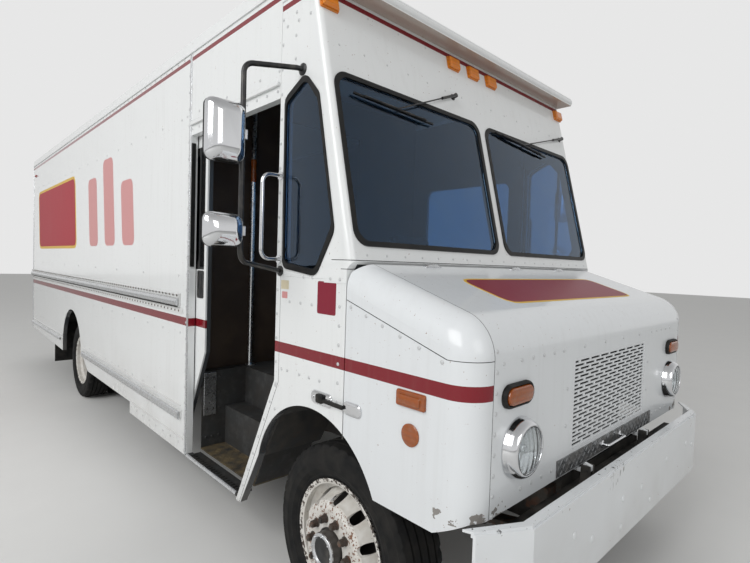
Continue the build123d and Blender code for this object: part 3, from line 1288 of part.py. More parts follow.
def window_rubber():
    """Black rubber in both windshield openings and both quarter windows."""
    solids = []
    lips = pane_slab(0, -6, -SEAT_GAP)
    necks = pane_slab(RUBBER_W / 2 + SEAT_GAP, -1, 14)
    holes = pane_slab(RUBBER_W, -30, 40)
    for lip, neck, hole in zip(lips, necks, holes):
        solids.append(lip + neck - hole)
    corners = [r for _, _, r in QUARTER_WINDOW]
    for side in (-1, 1):
        span = sorted((side * (HALF_W + SEAT_GAP), side * (HALF_W + 6)))
        lip = prism([(y, z) for y, z, _ in grown_window(RUBBER_W / 2)], "X", span, corners)
        span = sorted((side * (HALF_W + 1), side * (HALF_W - 14)))
        neck = prism(shrunk_window(SEAT_GAP), "X", span, corners)
        span = sorted((side * (HALF_W + 10), side * (HALF_W - 30)))
        hole = prism(shrunk_window(QUARTER_LIP), "X", span, 40)
        solids.append(lip + neck - hole)
    return together(*solids)


def grown_window(amount):
    return [(y, z, r) for (y, z), (_, _, r) in zip(shrunk_window(-amount), QUARTER_WINDOW)]


def hood_latches():
    """Rubber draw latch on each cab side, hooked over the keeper on the nose."""
    y, z = LATCH
    plate = box((HALF_W + SEAT_GAP, HALF_W + 8), (10, 140), (z - 22, z + 18))
    strap = box((HALF_W + 8, HALF_W + 20), (-52, 90), (z - 10, z + 8))
    return both_sides(plate + strap)


def hood_keepers():
    y, z = LATCH
    return both_sides(box((HALF_W + SEAT_GAP, HALF_W + 16), (y - 45, y + 50), (z - 24, z + 20)))


def nodes():
    """Every node's name and shape at rest, in the front-axle frame."""
    open_shift = Pos(0, DOOR_OPEN, 0)
    door, door_glass = cab_door(), cab_door_glass()
    rear, rear_glass = rear_door(), rear_door_glass()
    parts = {
        "frame_rails": together(frame_rails(), front_shelf()),
        "bumpers": bumpers(),
        "axles": together(front_axle(), rear_axle()),
        "leaf_springs": leaf_springs(),
        "fuel_tank": fuel_tank(),
        "exhaust": exhaust(),
        "mud_flaps": mud_flaps(),
        "drive_line": together(engine_block(), drive_shaft()),
        "radiator": radiator(),
        "cab_shell": cab_shell(),
        "wall_right": side_wall(),
        "wall_left": mirrored(side_wall()),
        "roof": roof(),
        "rear_frame": rear_frame(),
        "bulkhead": bulkhead(),
        "floor_deck": floor_deck(),
        "wheel_houses": wheel_houses(),
        "step_wells": together(step_wells(), door_sills()),
        "fixed_glass": fixed_glass(),
        "window_rubber": window_rubber(),
        "dashboard": dashboard(),
        "steering_column": steering_column(),
        "driver_seat": driver_seat(),
        "engine_cover": engine_cover(),
        "grab_handles": grab_handles(),
        "mirrors": mirrors(),
        "cab_fittings": together(wipers(), hood_latches()),
        "marker_lamps": marker_lamps(),
        "tail_lamps": tail_lamps(),
        "rub_rails": rub_rails(),
        "nose_shell": nose_shell(),
        "grille": grille(),
        "headlamp_rings": headlamp_rings(),
        "headlamp_lenses": headlamp_lenses(),
        "nose_lamps": nose_lamps(),
        "nose_fittings": together(nose_handle(), hood_keepers()),
        "door_right": open_shift * door,
        "door_right_glass": open_shift * door_glass,
        "door_left": mirrored(door),
        "door_left_glass": mirrored(door_glass),
        "rear_door_left": rear,
        "rear_door_left_glass": rear_glass,
        "rear_door_right": mirrored(rear),
        "rear_door_right_glass": mirrored(rear_glass),
        "knuckle_left": knuckle(),
        "knuckle_right": mirrored(knuckle()),
        "tie_rod": tie_rod(),
        "steering_wheel": steering_wheel(),
    }
    for side, word in ((1, "left"), (-1, "right")):
        parts[f"front_wheel_{word}"] = together(front_hub(side), front_wheel(side))
        parts[f"front_tyre_{word}"] = tyre(side * FRONT_TYRE_X)
        parts[f"rear_wheel_{word}"] = together(rear_hub(side), rear_wheel(side))
        parts[f"rear_tyre_{word}"] = together(
            tyre(side * REAR_OUTER_X, WHEELBASE), tyre(side * (REAR_OUTER_X - DUAL_PITCH), WHEELBASE))
    return parts


def export():
    """Writes one STEP per node, with the origin at the bottom centre of the van."""
    os.makedirs("parts", exist_ok=True)
    middle = (BUMPER_Y + REAR_BUMPER[0]) / 2
    for name, shape in nodes().items():
        placed = Pos(0, -middle, 0) * shape
        export_step(placed, f"parts/{name}.step")
    print("front axle at y =", -middle)


if __name__ == "__main__":
    export()
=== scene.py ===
"""Paint, glass, rivets, tyres, lamps and small fittings of a walk-in step van.

Laid out as an add-on and run as a script. Lengths in tables are millimetres; x is across the
van, y is measured from the front axle towards the rear and z from the road.
"""
import json
import math

import bmesh
import bpy
from mathutils import Matrix, Vector
from mathutils.bvhtree import BVHTree


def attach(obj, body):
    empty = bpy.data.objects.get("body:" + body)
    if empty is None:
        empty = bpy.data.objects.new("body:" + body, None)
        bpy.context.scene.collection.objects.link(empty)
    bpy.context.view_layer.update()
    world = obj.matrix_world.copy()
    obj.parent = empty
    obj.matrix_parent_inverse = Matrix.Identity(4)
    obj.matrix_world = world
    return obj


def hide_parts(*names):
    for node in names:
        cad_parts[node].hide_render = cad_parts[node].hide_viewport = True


bl_info = {
    "name": "Step van finish",
    "version": (1, 0, 0),
    "blender": (4, 5, 0),
    "location": "View3D > Sidebar > Step van",
    "description": "Paint, rivets, tyres, lamps and fittings of a walk-in step van",
    "category": "Object",
}

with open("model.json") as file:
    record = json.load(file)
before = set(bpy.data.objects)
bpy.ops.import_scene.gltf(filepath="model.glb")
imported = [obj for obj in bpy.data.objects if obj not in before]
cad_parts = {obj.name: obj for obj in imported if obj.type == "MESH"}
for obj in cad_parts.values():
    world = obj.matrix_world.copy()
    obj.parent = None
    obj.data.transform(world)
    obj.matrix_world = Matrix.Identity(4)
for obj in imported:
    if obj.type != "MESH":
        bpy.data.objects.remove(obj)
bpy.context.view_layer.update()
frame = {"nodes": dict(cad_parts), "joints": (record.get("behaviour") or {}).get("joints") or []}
JOINTS = {joint["name"]: joint for joint in frame["joints"]}
FRONT_AXLE_Y = JOINTS["front_left_roll"]["pos_m"][1]
AXLE_Z = JOINTS["front_left_roll"]["pos_m"][2] * 1000
REAR_AXLE = (JOINTS["rear_left_roll"]["pos_m"][1] - FRONT_AXLE_Y) * 1000

SIDE_X = 1086.0            # outer skin of the body
NOSE_Y = -662.0            # front panel of the nose
LEAN = math.atan(0.242)    # lean of the windshield face
FACE = (-84.0, 1550.0)     # y and z of one point on that face
FACE_SHEET = 12.0          # depth of its white paint behind that face
BODY_REAR = 6950.0
BELT = (1133.0, 1183.0)    # lower red stripe

INSIDE_SHADE = "3d4043"          # painted shade: dark grey on everything inside, under the roof and in the wheel arches

# Ranges across the van, from its middle outward
SKIN_X = (1080, 1100)      # outer face of the sides
ARCH_X = (1046, 1083)      # what is seen inside the wheel arches
INSIDE_X = (-10, 1047)     # everything between the side walls
ROOF_X = (-10, 1040)       # ceiling under the roof
NOSE_SEAM_X = (978.8, 981.2)  # joint between the nose's middle and its shoulders


def linear(code):
    """An sRGB hex colour as linear red, green, blue and alpha."""
    parts = [int(code[i:i + 2], 16) / 255 for i in (0, 2, 4)]
    return [p / 12.92 if p <= 0.04045 else ((p + 0.055) / 1.055) ** 2.4 for p in parts] + [1.0]


def at(x, y, z):
    """A place in millimetres as a point in the shared frame, in metres."""
    return Vector((x / 1000, y / 1000 + FRONT_AXLE_Y, z / 1000))


# Settings a user would change


def colour_setting(name, code, about):
    return bpy.props.FloatVectorProperty(
        name=name, description=about, subtype="COLOR", size=4, min=0, max=1, default=linear(code))


def length_setting(name, value, about):
    return bpy.props.FloatProperty(name=name, description=about, default=value, unit="LENGTH")


class VanPaint(bpy.types.PropertyGroup):
    """Colours of the paint and of what has settled on it."""
    white: colour_setting("White", "dfe1e1", "Body enamel")
    nose_white: colour_setting("Nose white", "d8dbdd", "Paint on the moulded nose")
    red: colour_setting("Stripe red", "780d1c", "Stripes round the body")
    panel: colour_setting("Panel red", "7d1a2e", "Plain panel on the hood and placard")
    print_red: colour_setting("Print red", "a3192b", "Plain panels printed on the sides")
    faded: colour_setting("Faded red", "c98d8c", "Bleached bands on the sides")
    border: colour_setting("Border yellow", "d3ab35", "Edge line of the panels")
    rust: colour_setting("Rust", "7b4627", "Rust at chips and nuts")
    dust: colour_setting("Road dust", "8d857a", "Dust low on the body and in the wells")


class VanFittings(bpy.types.PropertyGroup):
    """Sizes of the small repeated fittings."""
    rivet_radius: length_setting("Rivet radius", 0.0074, "Radius of a rivet's dome")
    rivet_rise: length_setting("Rivet rise", 0.0034, "Height of a rivet's dome")
    groove_depth: length_setting("Tread depth", 0.011, "Depth of the grooves in a tyre")
    lug_length: length_setting("Lug length", 0.022, "Length of a raised bar on tread plate")
    stud_radius: length_setting("Stud radius", 0.0105, "Radius of a wheel stud")


class VanStage(bpy.types.PropertyGroup):
    """Camera, floor and lights."""
    lens: bpy.props.FloatProperty(name="Lens", description="Focal length of the camera",
                                  default=23.09, unit="CAMERA")
    floor: colour_setting("Floor", "e3e3e1", "Plain pale floor")
    sky: bpy.props.FloatProperty(name="Sky", description="Strength of the even light",
                                 default=0.46, min=0)
    key: bpy.props.FloatProperty(name="Key", description="Power of the large soft lamp",
                                 default=800.0, min=0, unit="POWER")


# Building finishes


def put(tree, kind, sockets=None, **settings):
    """Adds one node with its settings; a socket gets a value or a link."""
    item = tree.nodes.new("ShaderNode" + kind)
    for key, value in settings.items():
        setattr(item, key, value)
    for key, value in (sockets or {}).items():
        if isinstance(value, bpy.types.NodeSocket):
            tree.links.new(value, item.inputs[key])
        else:
            item.inputs[key].default_value = value
    return item


def together(tree, operation, *masks):
    """Several masks or numbers joined by one operation."""
    joined = masks[0]
    for mask in masks[1:]:
        joined = put(tree, "Math", {0: joined, 1: mask}, operation=operation).outputs[0]
    return joined


def rgba(colour):
    """A hex code, or a colour from the settings, as a socket takes it."""
    return tuple(linear(colour) if isinstance(colour, str) else colour)


def rib_scale(spacing):
    """Scale of a wave texture whose ribs stand so many millimetres apart."""
    return 1000 / spacing / math.tau * 0.5


class Finish:
    """A material being made: its nodes, its shader and the coordinates of its surface."""

    def __init__(self, name, rough, metal=0.0, **sockets):
        material = bpy.data.materials.new(name)
        material.use_nodes = True
        self.tree = material.node_tree
        self.shader = self.tree.nodes["Principled BSDF"]
        for key, value in {"roughness": rough, "metallic": metal, **sockets}.items():
            label = key.replace("_", " ").title().replace("Ior", "IOR")
            self.shader.inputs[label].default_value = value
        self.where = self.put("TexCoord").outputs["Object"]
        self.axes = self.put("SeparateXYZ", {0: self.where}).outputs

    def put(self, kind, sockets=None, **settings):
        """Adds one node to this finish."""
        return put(self.tree, kind, sockets, **settings)

    def joined(self, operation, *masks):
        """Several masks or numbers joined by one operation."""
        return together(self.tree, operation, *masks)

    def overlap(self, *masks):
        """Where all the masks hold; a number among them thins the rest."""
        return together(self.tree, "MULTIPLY", *masks)

    def blotches(self, size, low, high, stretch=None, detail=4.0):
        """Cloudy patches about size mm across: 0 below low, 1 above high."""
        where = self.where
        if stretch:
            where = self.put("Mapping", {"Vector": where, "Scale": stretch}).outputs[0]
        cloud = self.put("TexNoise", {"Vector": where, "Scale": 1000 / size, "Detail": detail})
        return self.put("MapRange", {"Value": cloud.outputs[0], "From Min": low,
                                     "From Max": high}).outputs[0]

    def area(self, x=None, y=None, z=None):
        """Mask of a box given by its ranges in mm; across the van it counts both sides."""
        masks = []
        for axis, span in enumerate((x, y, z)):
            if span is None:
                continue
            value = self.axes[axis]
            if axis == 0:
                value = self.put("Math", {0: value}, operation="ABSOLUTE").outputs[0]
            shift = FRONT_AXLE_Y if axis == 1 else 0.0
            middle = (span[0] + span[1]) / 2000 + shift
            half = (span[1] - span[0]) / 2000
            masks.append(self.put("Math", {0: value, 1: middle, 2: half},
                                  operation="COMPARE").outputs[0])
        return self.overlap(*masks)

    def fade(self, empty, full):
        """Mask that grows from height empty to height full, both in mm."""
        return self.put("MapRange", {"Value": self.axes[2], "From Min": empty / 1000,
                                     "From Max": full / 1000}).outputs[0]

    def road_dirt(self, low, high):
        """Mask of dust that thickens from height high down to height low."""
        return self.overlap(self.fade(high, low), self.blotches(240, 0.25, 0.85, detail=2))

    def surface(self, base, layers=(), bumps=(), rough=None):
        """Links colour, normal and roughness to the shader.

        Each layer is (mask, colour) or (mask, colour, share) and lies over the ones before. Each
        bump is (mask, depth in mm). rough is (mask, value where it is 0, value where it is 1)."""
        colour = rgba(base)
        if not layers:
            self.shader.inputs["Base Color"].default_value = colour
        for mask, over, *share in layers:
            sockets = {0: self.overlap(mask, *share), 6: colour, 7: rgba(over)}
            colour = self.put("Mix", sockets, data_type="RGBA").outputs[2]
        if layers:
            self.tree.links.new(colour, self.shader.inputs["Base Color"])
        if rough:
            mask, low, high = rough
            level = self.put("MapRange", {"Value": mask, "To Min": low, "To Max": high})
            self.tree.links.new(level.outputs[0], self.shader.inputs["Roughness"])
        sockets = {"Strength": 1.0}
        for mask, depth in bumps:
            sockets.update({"Height": mask, "Distance": abs(depth) / 1000})
            sockets["Normal"] = self.put("Bump", sockets, invert=depth < 0).outputs[0]
        if bumps:
            self.tree.links.new(sockets["Normal"], self.shader.inputs["Normal"])


def stripe(z, y=None, x=None):
    """Maker of a painted band between two heights."""
    return lambda paint: paint.area(x=x, y=y, z=z)


def slant(first, last, half_width, x):
    """Maker of a slanted line on the van's sides between two (y, z) points, in mm."""
    def mask(paint):
        slope = (last[1] - first[1]) / (last[0] - first[0])
        run = paint.joined("SUBTRACT", paint.axes[1], first[0] / 1000 + FRONT_AXLE_Y)
        line = paint.put("Math", {0: run, 1: slope, 2: first[1] / 1000},
                         operation="MULTIPLY_ADD").outputs[0]
        near = paint.put("Math", {0: paint.axes[2], 1: line, 2: half_width / 1000},
                         operation="COMPARE").outputs[0]
        return paint.overlap(near, paint.area(x=x, y=sorted((first[0], last[0]))))

    return mask


def behind_face(paint):
    """Mask of what lies behind the windshield's plane and between the side walls."""
    normal = (0.0, math.cos(LEAN), -math.sin(LEAN))
    depth = paint.put("VectorMath", {0: paint.where, 1: normal},
                      operation="DOT_PRODUCT").outputs["Value"]
    limit = at(0, *FACE).dot(Vector(normal)) + FACE_SHEET / 1000
    inside = paint.joined("GREATER_THAN", depth, limit)
    return paint.overlap(inside, paint.area(x=INSIDE_X, z=(700, 2800)))


def scuffs(paint):
    """Mask of rubbed patches low on the front corners of the nose."""
    corner = paint.area(x=(880, 1100), y=(-700, -520), z=(740, 860))
    marks = paint.overlap(paint.fade(860, 770), paint.blotches(40, 0.4, 0.62, detail=8))
    return paint.overlap(corner, paint.joined("GREATER_THAN", marks, 0.62))


def enamel(name, white, bands=(), seams=(), rough=0.16, coat=0.35):
    """Gloss enamel sprayed on sheet: soft orange peel, thin dust and a few chips.

    bands are (maker of a mask, colour) painted on; seams make dark joints between sheets."""
    settings = bpy.context.scene.van_paint
    paint = Finish(name, rough, coat_weight=coat, coat_roughness=0.04, specular_ior_level=0.3)
    chips = paint.blotches(9, 0.715, 0.73, detail=6)
    haze = paint.overlap(paint.blotches(420, 0.35, 0.8),
                         paint.blotches(30, 0.5, 0.8, stretch=(1, 1, 0.05)))
    soil = paint.road_dirt(300, 900)
    layers = [(maker(paint), colour) for maker, colour in bands]
    layers += [(haze, settings.dust, 0.16), (soil, settings.dust, 0.35), (chips, settings.rust)]
    bumps = [(paint.blotches(3, 0.2, 0.8), 0.03), (paint.blotches(260, 0.2, 0.8, detail=1), 0.5)]
    if seams:
        gaps = paint.joined("MAXIMUM", *(maker(paint) for maker in seams))
        layers.append((gaps, "26272a"))
        bumps.append((gaps, -1.5))
    paint.surface(white, layers, bumps, rough=(soil, rough, 0.4))


def make_enamels():
    """The body's paints with their stripes and seams, and painted shade on all that lies inside."""
    paint = bpy.context.scene.van_paint
    belt = (stripe(BELT), paint.red)
    top = (stripe((2738, 2763), x=SKIN_X), paint.red)
    brow = (stripe((2679, 2704)), paint.red)
    # painted shade: dark grey inside the walls and in the wheel arches
    inside = (stripe((300, 2860), x=INSIDE_X), INSIDE_SHADE)
    rear_arch = (stripe((300, 1100), y=(REAR_AXLE - 640, REAR_AXLE + 640), x=ARCH_X), INSIDE_SHADE)
    front_arch = (stripe((300, 1004), x=ARCH_X), INSIDE_SHADE)
    enamel("white enamel on body sheet", paint.white, [belt, top, inside, rear_arch])
    cowl = stripe((1527, 1529.5), y=(-700, -20))
    hem = stripe((1562, 1565), y=(-120, 40))
    jamb = [slant((408, 997), (750, 302), 3.2, SKIN_X), stripe((997, 2290), (407, 409), SKIN_X)]
    # painted shade: dark grey behind the windshield and in the front arches
    enamel("white enamel on cab sheet", paint.white,
           [belt, brow, (behind_face, INSIDE_SHADE), front_arch], [cowl, hem, *jamb])
    enamel("white enamel on roof sheet", paint.white,
           # painted shade: dark grey under the roof
           [(stripe((2300, 2812), x=ROOF_X, y=(460, 7100)), INSIDE_SHADE),
            (stripe((2300, 2740), x=ROOF_X, y=(240, 460)), INSIDE_SHADE),
            # painted shade, tinted brown, under the roll along the front of the roof
            (stripe((2700, 2722), y=(60, 240)), "b3a59b")])
    # painted shade: dark grey on the inner faces of the doors
    door_skin = (stripe((300, 2860), x=(-10, 1030)), INSIDE_SHADE)
    for name, span in (("white enamel on curb door", (1330, 2260)),
                       ("white enamel on driver door", (440, 1430))):
        window = (stripe((1486, 2226), y=span, x=(1030, 1060)), "131415")
        enamel(name, paint.white, [belt, window, door_skin])
    shoulder = [stripe((1180, 1700), x=NOSE_SEAM_X),
                stripe((700, 1260), x=NOSE_SEAM_X, y=(-700, -640)),
                stripe((1256.8, 1259.2), y=(-700, -556), x=(979, 1100)),
                slant((-62, 1410), (-556, 1258), 1.6, (1000, 1100))]
    nose_belt = (stripe(BELT, x=(980, 1100)), paint.red)
    enamel("white enamel on nose panels", paint.nose_white, [nose_belt, (scuffs, "86827e")],
           shoulder, rough=0.24)
    enamel("white enamel on rear doors", paint.white, [belt])
    for name, colour, rough in (("white enamel on grille", paint.nose_white, 0.3),
                                ("white enamel on rails", "d2d3d2", 0.3),
                                ("weathered enamel on rivets", "bfc1c2", 0.35)):
        enamel(name, colour, rough=rough)
    for name, colour, rough in (("red enamel on panels", paint.panel, 0.42),
                                ("red print on sides", paint.print_red, 0.5),
                                ("yellow enamel on borders", paint.border, 0.42),
                                ("faded red print", paint.faded, 0.42)):
        enamel(name, colour, rough=rough, coat=0.0)


def make_metals():
    """Bright, cast and painted metals."""
    settings = bpy.context.scene.van_paint

    # Chromium plate on pressed steel: near mirror, with fine pits.
    chrome = Finish("chromium plate", 0.06, 1.0)
    pits = chrome.blotches(2.5, 0.68, 0.74)
    chrome.surface("d9dadc", [(pits, "6d6459")], [(pits, -0.1)],
                   rough=(chrome.blotches(60, 0.3, 0.8), 0.05, 0.16))

    # Extruded aluminium, mill finish: lines drawn along y, dulled by weather. Real ones are under
    # 1 mm apart; these are 7 mm, so that they show without a sparkle.
    mill = Finish("extruded aluminium", 0.34, 1.0)
    worn = mill.blotches(35, 0.5, 0.75)
    lines = mill.blotches(7, 0.3, 0.7, stretch=(1, 0.02, 1), detail=1)
    mill.surface("d2d4d6", [(worn, settings.dust, 0.3)], [(lines, 0.02)],
                 rough=(worn, 0.27, 0.42))

    # Rolled aluminium tread plate: worn bright on top, dirt between the bars.
    tread = Finish("aluminium tread plate", 0.42, 1.0)
    dirt = tread.blotches(45, 0.35, 0.6)
    tread.surface("a2a4a6", [(dirt, "4b463f", 0.6)], [(dirt, -0.15)], rough=(dirt, 0.3, 0.62))

    # Floor and steps: painted grey once, trodden to bare plate, with brown soil in the corners.
    step = Finish("trodden step plate", 0.62, 0.25)
    wear = step.blotches(45, 0.5, 0.75)
    earth = step.overlap(step.area(x=(780, 1040), z=(345, 360)),
                         step.blotches(70, 0.3, 0.6, detail=8))
    step.surface("353636", [(wear, "565655", 0.5), (step.blotches(120, 0.4, 0.7), "332c26", 0.5),
                            (earth, "6a5d45")],
                 [(wear, 0.2), (step.blotches(4, 0.3, 0.7), 0.15)])

    # Chassis black: thick brushed paint on hot rolled steel, dusty, rust at the edges.
    brushed = Finish("chassis black", 0.55)
    settled = brushed.blotches(70, 0.35, 0.75)
    brushed.surface("161718", [(settled, settings.dust, 0.25),
                               (brushed.blotches(26, 0.68, 0.74, detail=8), "4a2f20")],
                    [(brushed.blotches(8, 0.2, 0.8), 0.3)], rough=(settled, 0.42, 0.85))

    # Forged and cast steel: coarse grain, oily dirt and rust.
    steel = Finish("rough forged steel", 0.7, 0.35)
    steel.surface("3a3733", [(steel.blotches(30, 0.45, 0.62, detail=8), settings.rust, 0.4),
                             (steel.blotches(90, 0.4, 0.8), settings.dust, 0.4)],
                  [(steel.blotches(5, 0.2, 0.8), 0.5)])

    # White paint over a steel bumper: gloss, with dark chips and rust along the top lip.
    bumper = Finish("chipped white bumper paint", 0.3, coat_weight=0.3)
    chips = bumper.blotches(24, 0.735, 0.745, detail=8)
    edge = bumper.overlap(bumper.blotches(16, 0.66, 0.68, detail=8), bumper.fade(735, 765))
    bruise = bumper.overlap(bumper.blotches(12, 0.6, 0.66, stretch=(1, 1, 0.3)),
                            bumper.blotches(300, 0.62, 0.66))
    bumper.surface(settings.nose_white,
                   [(bumper.road_dirt(400, 800), settings.dust, 0.4), (bruise, "5d5a56"),
                    (chips, settings.rust), (edge, "2c2a29")],
                   [(bumper.joined("MAXIMUM", chips, edge), -0.4),
                    (bumper.blotches(180, 0.2, 0.8, detail=1), 1.5)])


def wheel_enamel(name, axle_y, drum_x, nut_x):
    """White enamel on a steel disc wheel, rusting in a ring and round the nuts.

    Inboard of drum_x the hub and drum are bare and dark; outboard of nut_x the nuts are brown
    with rust. Both are in mm."""
    paint = Finish(name, 0.42)
    local = paint.put("VectorMath", {0: paint.where, 1: tuple(at(0, axle_y, AXLE_Z))},
                      operation="SUBTRACT").outputs[0]
    flat = paint.put("VectorMath", {0: local, 1: (0, 1, 1)}, operation="MULTIPLY").outputs[0]
    radius = paint.put("VectorMath", {0: flat}, operation="LENGTH").outputs["Value"]

    def ring(low, high):
        return paint.put("Math", {0: radius, 1: (low + high) / 2000, 2: (high - low) / 2000},
                         operation="COMPARE").outputs[0]

    across = paint.put("Math", {0: paint.axes[0]}, operation="ABSOLUTE").outputs[0]
    drum = paint.overlap(ring(0, 197), paint.joined("LESS_THAN", across, drum_x / 1000))
    nuts = paint.overlap(paint.joined("GREATER_THAN", across, nut_x / 1000), ring(90, 131))
    ringed = paint.overlap(paint.blotches(11, 0.55, 0.6, detail=8), ring(118, 178))
    edge = paint.overlap(paint.blotches(12, 0.5, 0.55, detail=8), ring(245, 262))
    few = paint.blotches(8, 0.69, 0.7, detail=8)
    rust, dark = "74503a", "3b3029"
    paint.surface("d6d4cf",
                  [(paint.blotches(40, 0.35, 0.7), "a89f92", 0.45), (ringed, rust), (few, rust),
                   (edge, dark), (drum, "2a2725"), (ring(0, 77.5), "45413d"), (nuts, dark)],
                  [(paint.joined("MAXIMUM", ringed, few), -0.3),
                   (paint.blotches(6, 0.2, 0.8), 0.2)])


def make_glass_and_lenses():
    """Window glass, headlamp lenses and acrylic lenses."""
    # Laminated glass: clear, with a little dust. Its blue-grey colour and blue specular tint are a
    # painted reflection of blue sky.
    glass = Finish("laminated glass with painted sky", 0.02, ior=1.52, transmission_weight=1.0,
                   specular_tint=(0.5, 0.72, 1, 1))
    haze = glass.blotches(130, 0.45, 0.9)
    glass.surface("6a8fb4", [(haze, "b9b9b2", 0.2)], rough=(haze, 0.0, 0.09))

    # Moulded lens glass of a sealed beam: clear, with upright flutes 7 mm apart in rows of 28 mm.
    lens = Finish("fluted lens glass", 0.03, ior=1.5, transmission_weight=1.0)
    flutes = lens.put("TexWave", {"Vector": lens.where, "Scale": rib_scale(7), "Distortion": 0.4},
                      bands_direction="X").outputs[1]
    cells = lens.put("TexWave", {"Vector": lens.where, "Scale": rib_scale(28)},
                     bands_direction="Z").outputs[1]
    lens.surface("eef2f3", bumps=[(flutes, 1.2), (cells, 0.8)])

    # Acrylic lenses, injection moulded with ribs 5 mm apart: deep colour under a clear skin.
    # Two copies of one amber: the pale one is painted sunlight, for the roof lamps and their
    # frames; the deep one is painted shade, for the lamps on the nose and sides and the grab pole's
    # band.
    for name, code in (("amber lens painted shaded", "944807"), ("amber lens painted sunlit", "df7f0c"),
                       ("red acrylic lens", "8c1512"), ("clear acrylic lens", "d8dbda")):
        lens = Finish(name, 0.12, ior=1.49, coat_weight=0.6, subsurface_weight=0.12)
        ribs = lens.put("TexWave", {"Vector": lens.where, "Scale": rib_scale(5)},
                        bands_direction="Z").outputs[1]
        deep = [channel * 0.5 for channel in linear(code)[:3]] + [1.0]
        settled = lens.blotches(30, 0.5, 0.8)
        lens.surface(code, [(ribs, deep, 0.25), (settled, bpy.context.scene.van_paint.dust, 0.2)],
                     [(ribs, 0.5)])


def make_rubbers():
    """Carbon black rubbers, more or less greyed by dust."""
    # Tyre rubber: moulded, matt, browned by the road.
    # Seals of windows and doors: extruded EPDM, satin.
    # Latch straps, grommets and mud flaps: moulded, plain.
    for name, code, rough, share in (("tyre rubber", "0d0e0f", 0.78, 0.06),
                                     ("window seal rubber", "08090a", 0.42, 0.04),
                                     ("moulded black rubber", "0c0d0e", 0.6, 0.1)):
        rubber = Finish(name, rough, specular_ior_level=0.25)
        settled = rubber.blotches(55, 0.35, 0.8)
        rubber.surface(code, [(settled, bpy.context.scene.van_paint.dust, share)],
                       [(rubber.blotches(3, 0.2, 0.8), 0.12)])


def make_plastics():
    """Plastics, powder coat, label paper, vinyl and hardboard."""
    # ABS mouldings of the cab, grained in the mould: grey dash and cover, black controls.
    # Powder coat on tube: satin black with a fine orange peel. Label paper: matt, fibrous.
    for name, code, rough, grain in (("grained grey plastic", "55585b", 0.55, 1.4),
                                     ("grained black plastic", "17181a", 0.5, 1.2),
                                     ("black powder coat", "0f1011", 0.34, 2.5),
                                     ("label paper", "c9bfa4", 0.6, 3.0)):
        skin = Finish(name, rough)
        cells = skin.put("TexVoronoi", {"Vector": skin.where, "Scale": 1000 / grain}).outputs[0]
        rubbed = skin.blotches(50, 0.5, 0.8)
        skin.surface(code, [(rubbed, bpy.context.scene.van_paint.dust, 0.25)], [(cells, 0.12)])

    # Seat vinyl: calendered with a leather grain 4 mm across, worn shiny on the crown.
    vinyl = Finish("black seat vinyl", 0.5)
    cells = vinyl.put("TexVoronoi", {"Vector": vinyl.where, "Scale": 1000 / 4}).outputs[0]
    worn = vinyl.blotches(120, 0.45, 0.7)
    vinyl.surface("212226", [(worn, "4a4846", 0.3)], [(cells, 0.35)], rough=(worn, 0.55, 0.36))

    # Tempered hardboard of the bulkhead: brown, pressed, with rubbed paths.
    board = Finish("tempered hardboard", 0.6)
    fibre = board.blotches(3, 0.3, 0.7, stretch=(1, 1, 0.3))
    board.surface("35291f", [(board.blotches(160, 0.4, 0.7), "5a4a3b", 0.35),
                             (fibre, "241c16", 0.25)], [(fibre, 0.1)])


NODE_FINISHES = {
    "white enamel on body sheet": ["wall_right", "wall_left"],
    "white enamel on curb door": ["door_right"],
    "white enamel on driver door": ["door_left"],
    "white enamel on cab sheet": ["cab_shell"],
    "tempered hardboard": ["bulkhead"],
    "white enamel on roof sheet": ["roof"],
    "white enamel on rear doors": ["rear_frame", "rear_door_left", "rear_door_right"],
    "white enamel on nose panels": ["nose_shell"],
    "white enamel on grille": ["grille"],
    "white enamel on rails": ["rub_rails"],
    "chipped white bumper paint": ["bumpers"],
    "chassis black": ["frame_rails", "radiator", "wheel_houses"],
    "rough forged steel": ["axles", "leaf_springs", "exhaust", "drive_line", "knuckle_left",
                           "knuckle_right", "tie_rod"],
    "extruded aluminium": ["fuel_tank"],
    "aluminium tread plate": ["nose_fittings"],
    "trodden step plate": ["floor_deck", "step_wells"],
    "chromium plate": ["grab_handles", "mirrors", "headlamp_rings"],
    "laminated glass with painted sky": ["fixed_glass", "door_right_glass", "door_left_glass",
                               "rear_door_left_glass", "rear_door_right_glass"],
    "fluted lens glass": ["headlamp_lenses"],
    "amber lens painted shaded": ["nose_lamps"],
    "amber lens painted sunlit": ["marker_lamps"],
    "red acrylic lens": ["tail_lamps"],
    "window seal rubber": ["window_rubber"],
    "moulded black rubber": ["mud_flaps", "cab_fittings"],
    "tyre rubber": ["front_tyre_left", "front_tyre_right", "rear_tyre_left", "rear_tyre_right"],
    "grained grey plastic": ["dashboard", "engine_cover"],
    "grained black plastic": ["steering_column", "steering_wheel"],
    "black seat vinyl": ["driver_seat"],
    "white enamel on front wheels": ["front_wheel_left", "front_wheel_right"],
    "white enamel on rear wheels": ["rear_wheel_left", "rear_wheel_right"],
}


def dress(node, finish):
    """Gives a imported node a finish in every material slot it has."""
    thing = frame["nodes"][node]
    material = bpy.data.materials[finish]
    if not thing.material_slots:
        thing.data.materials.append(material)
    for slot in thing.material_slots:
        slot.material = material


# Building pieces


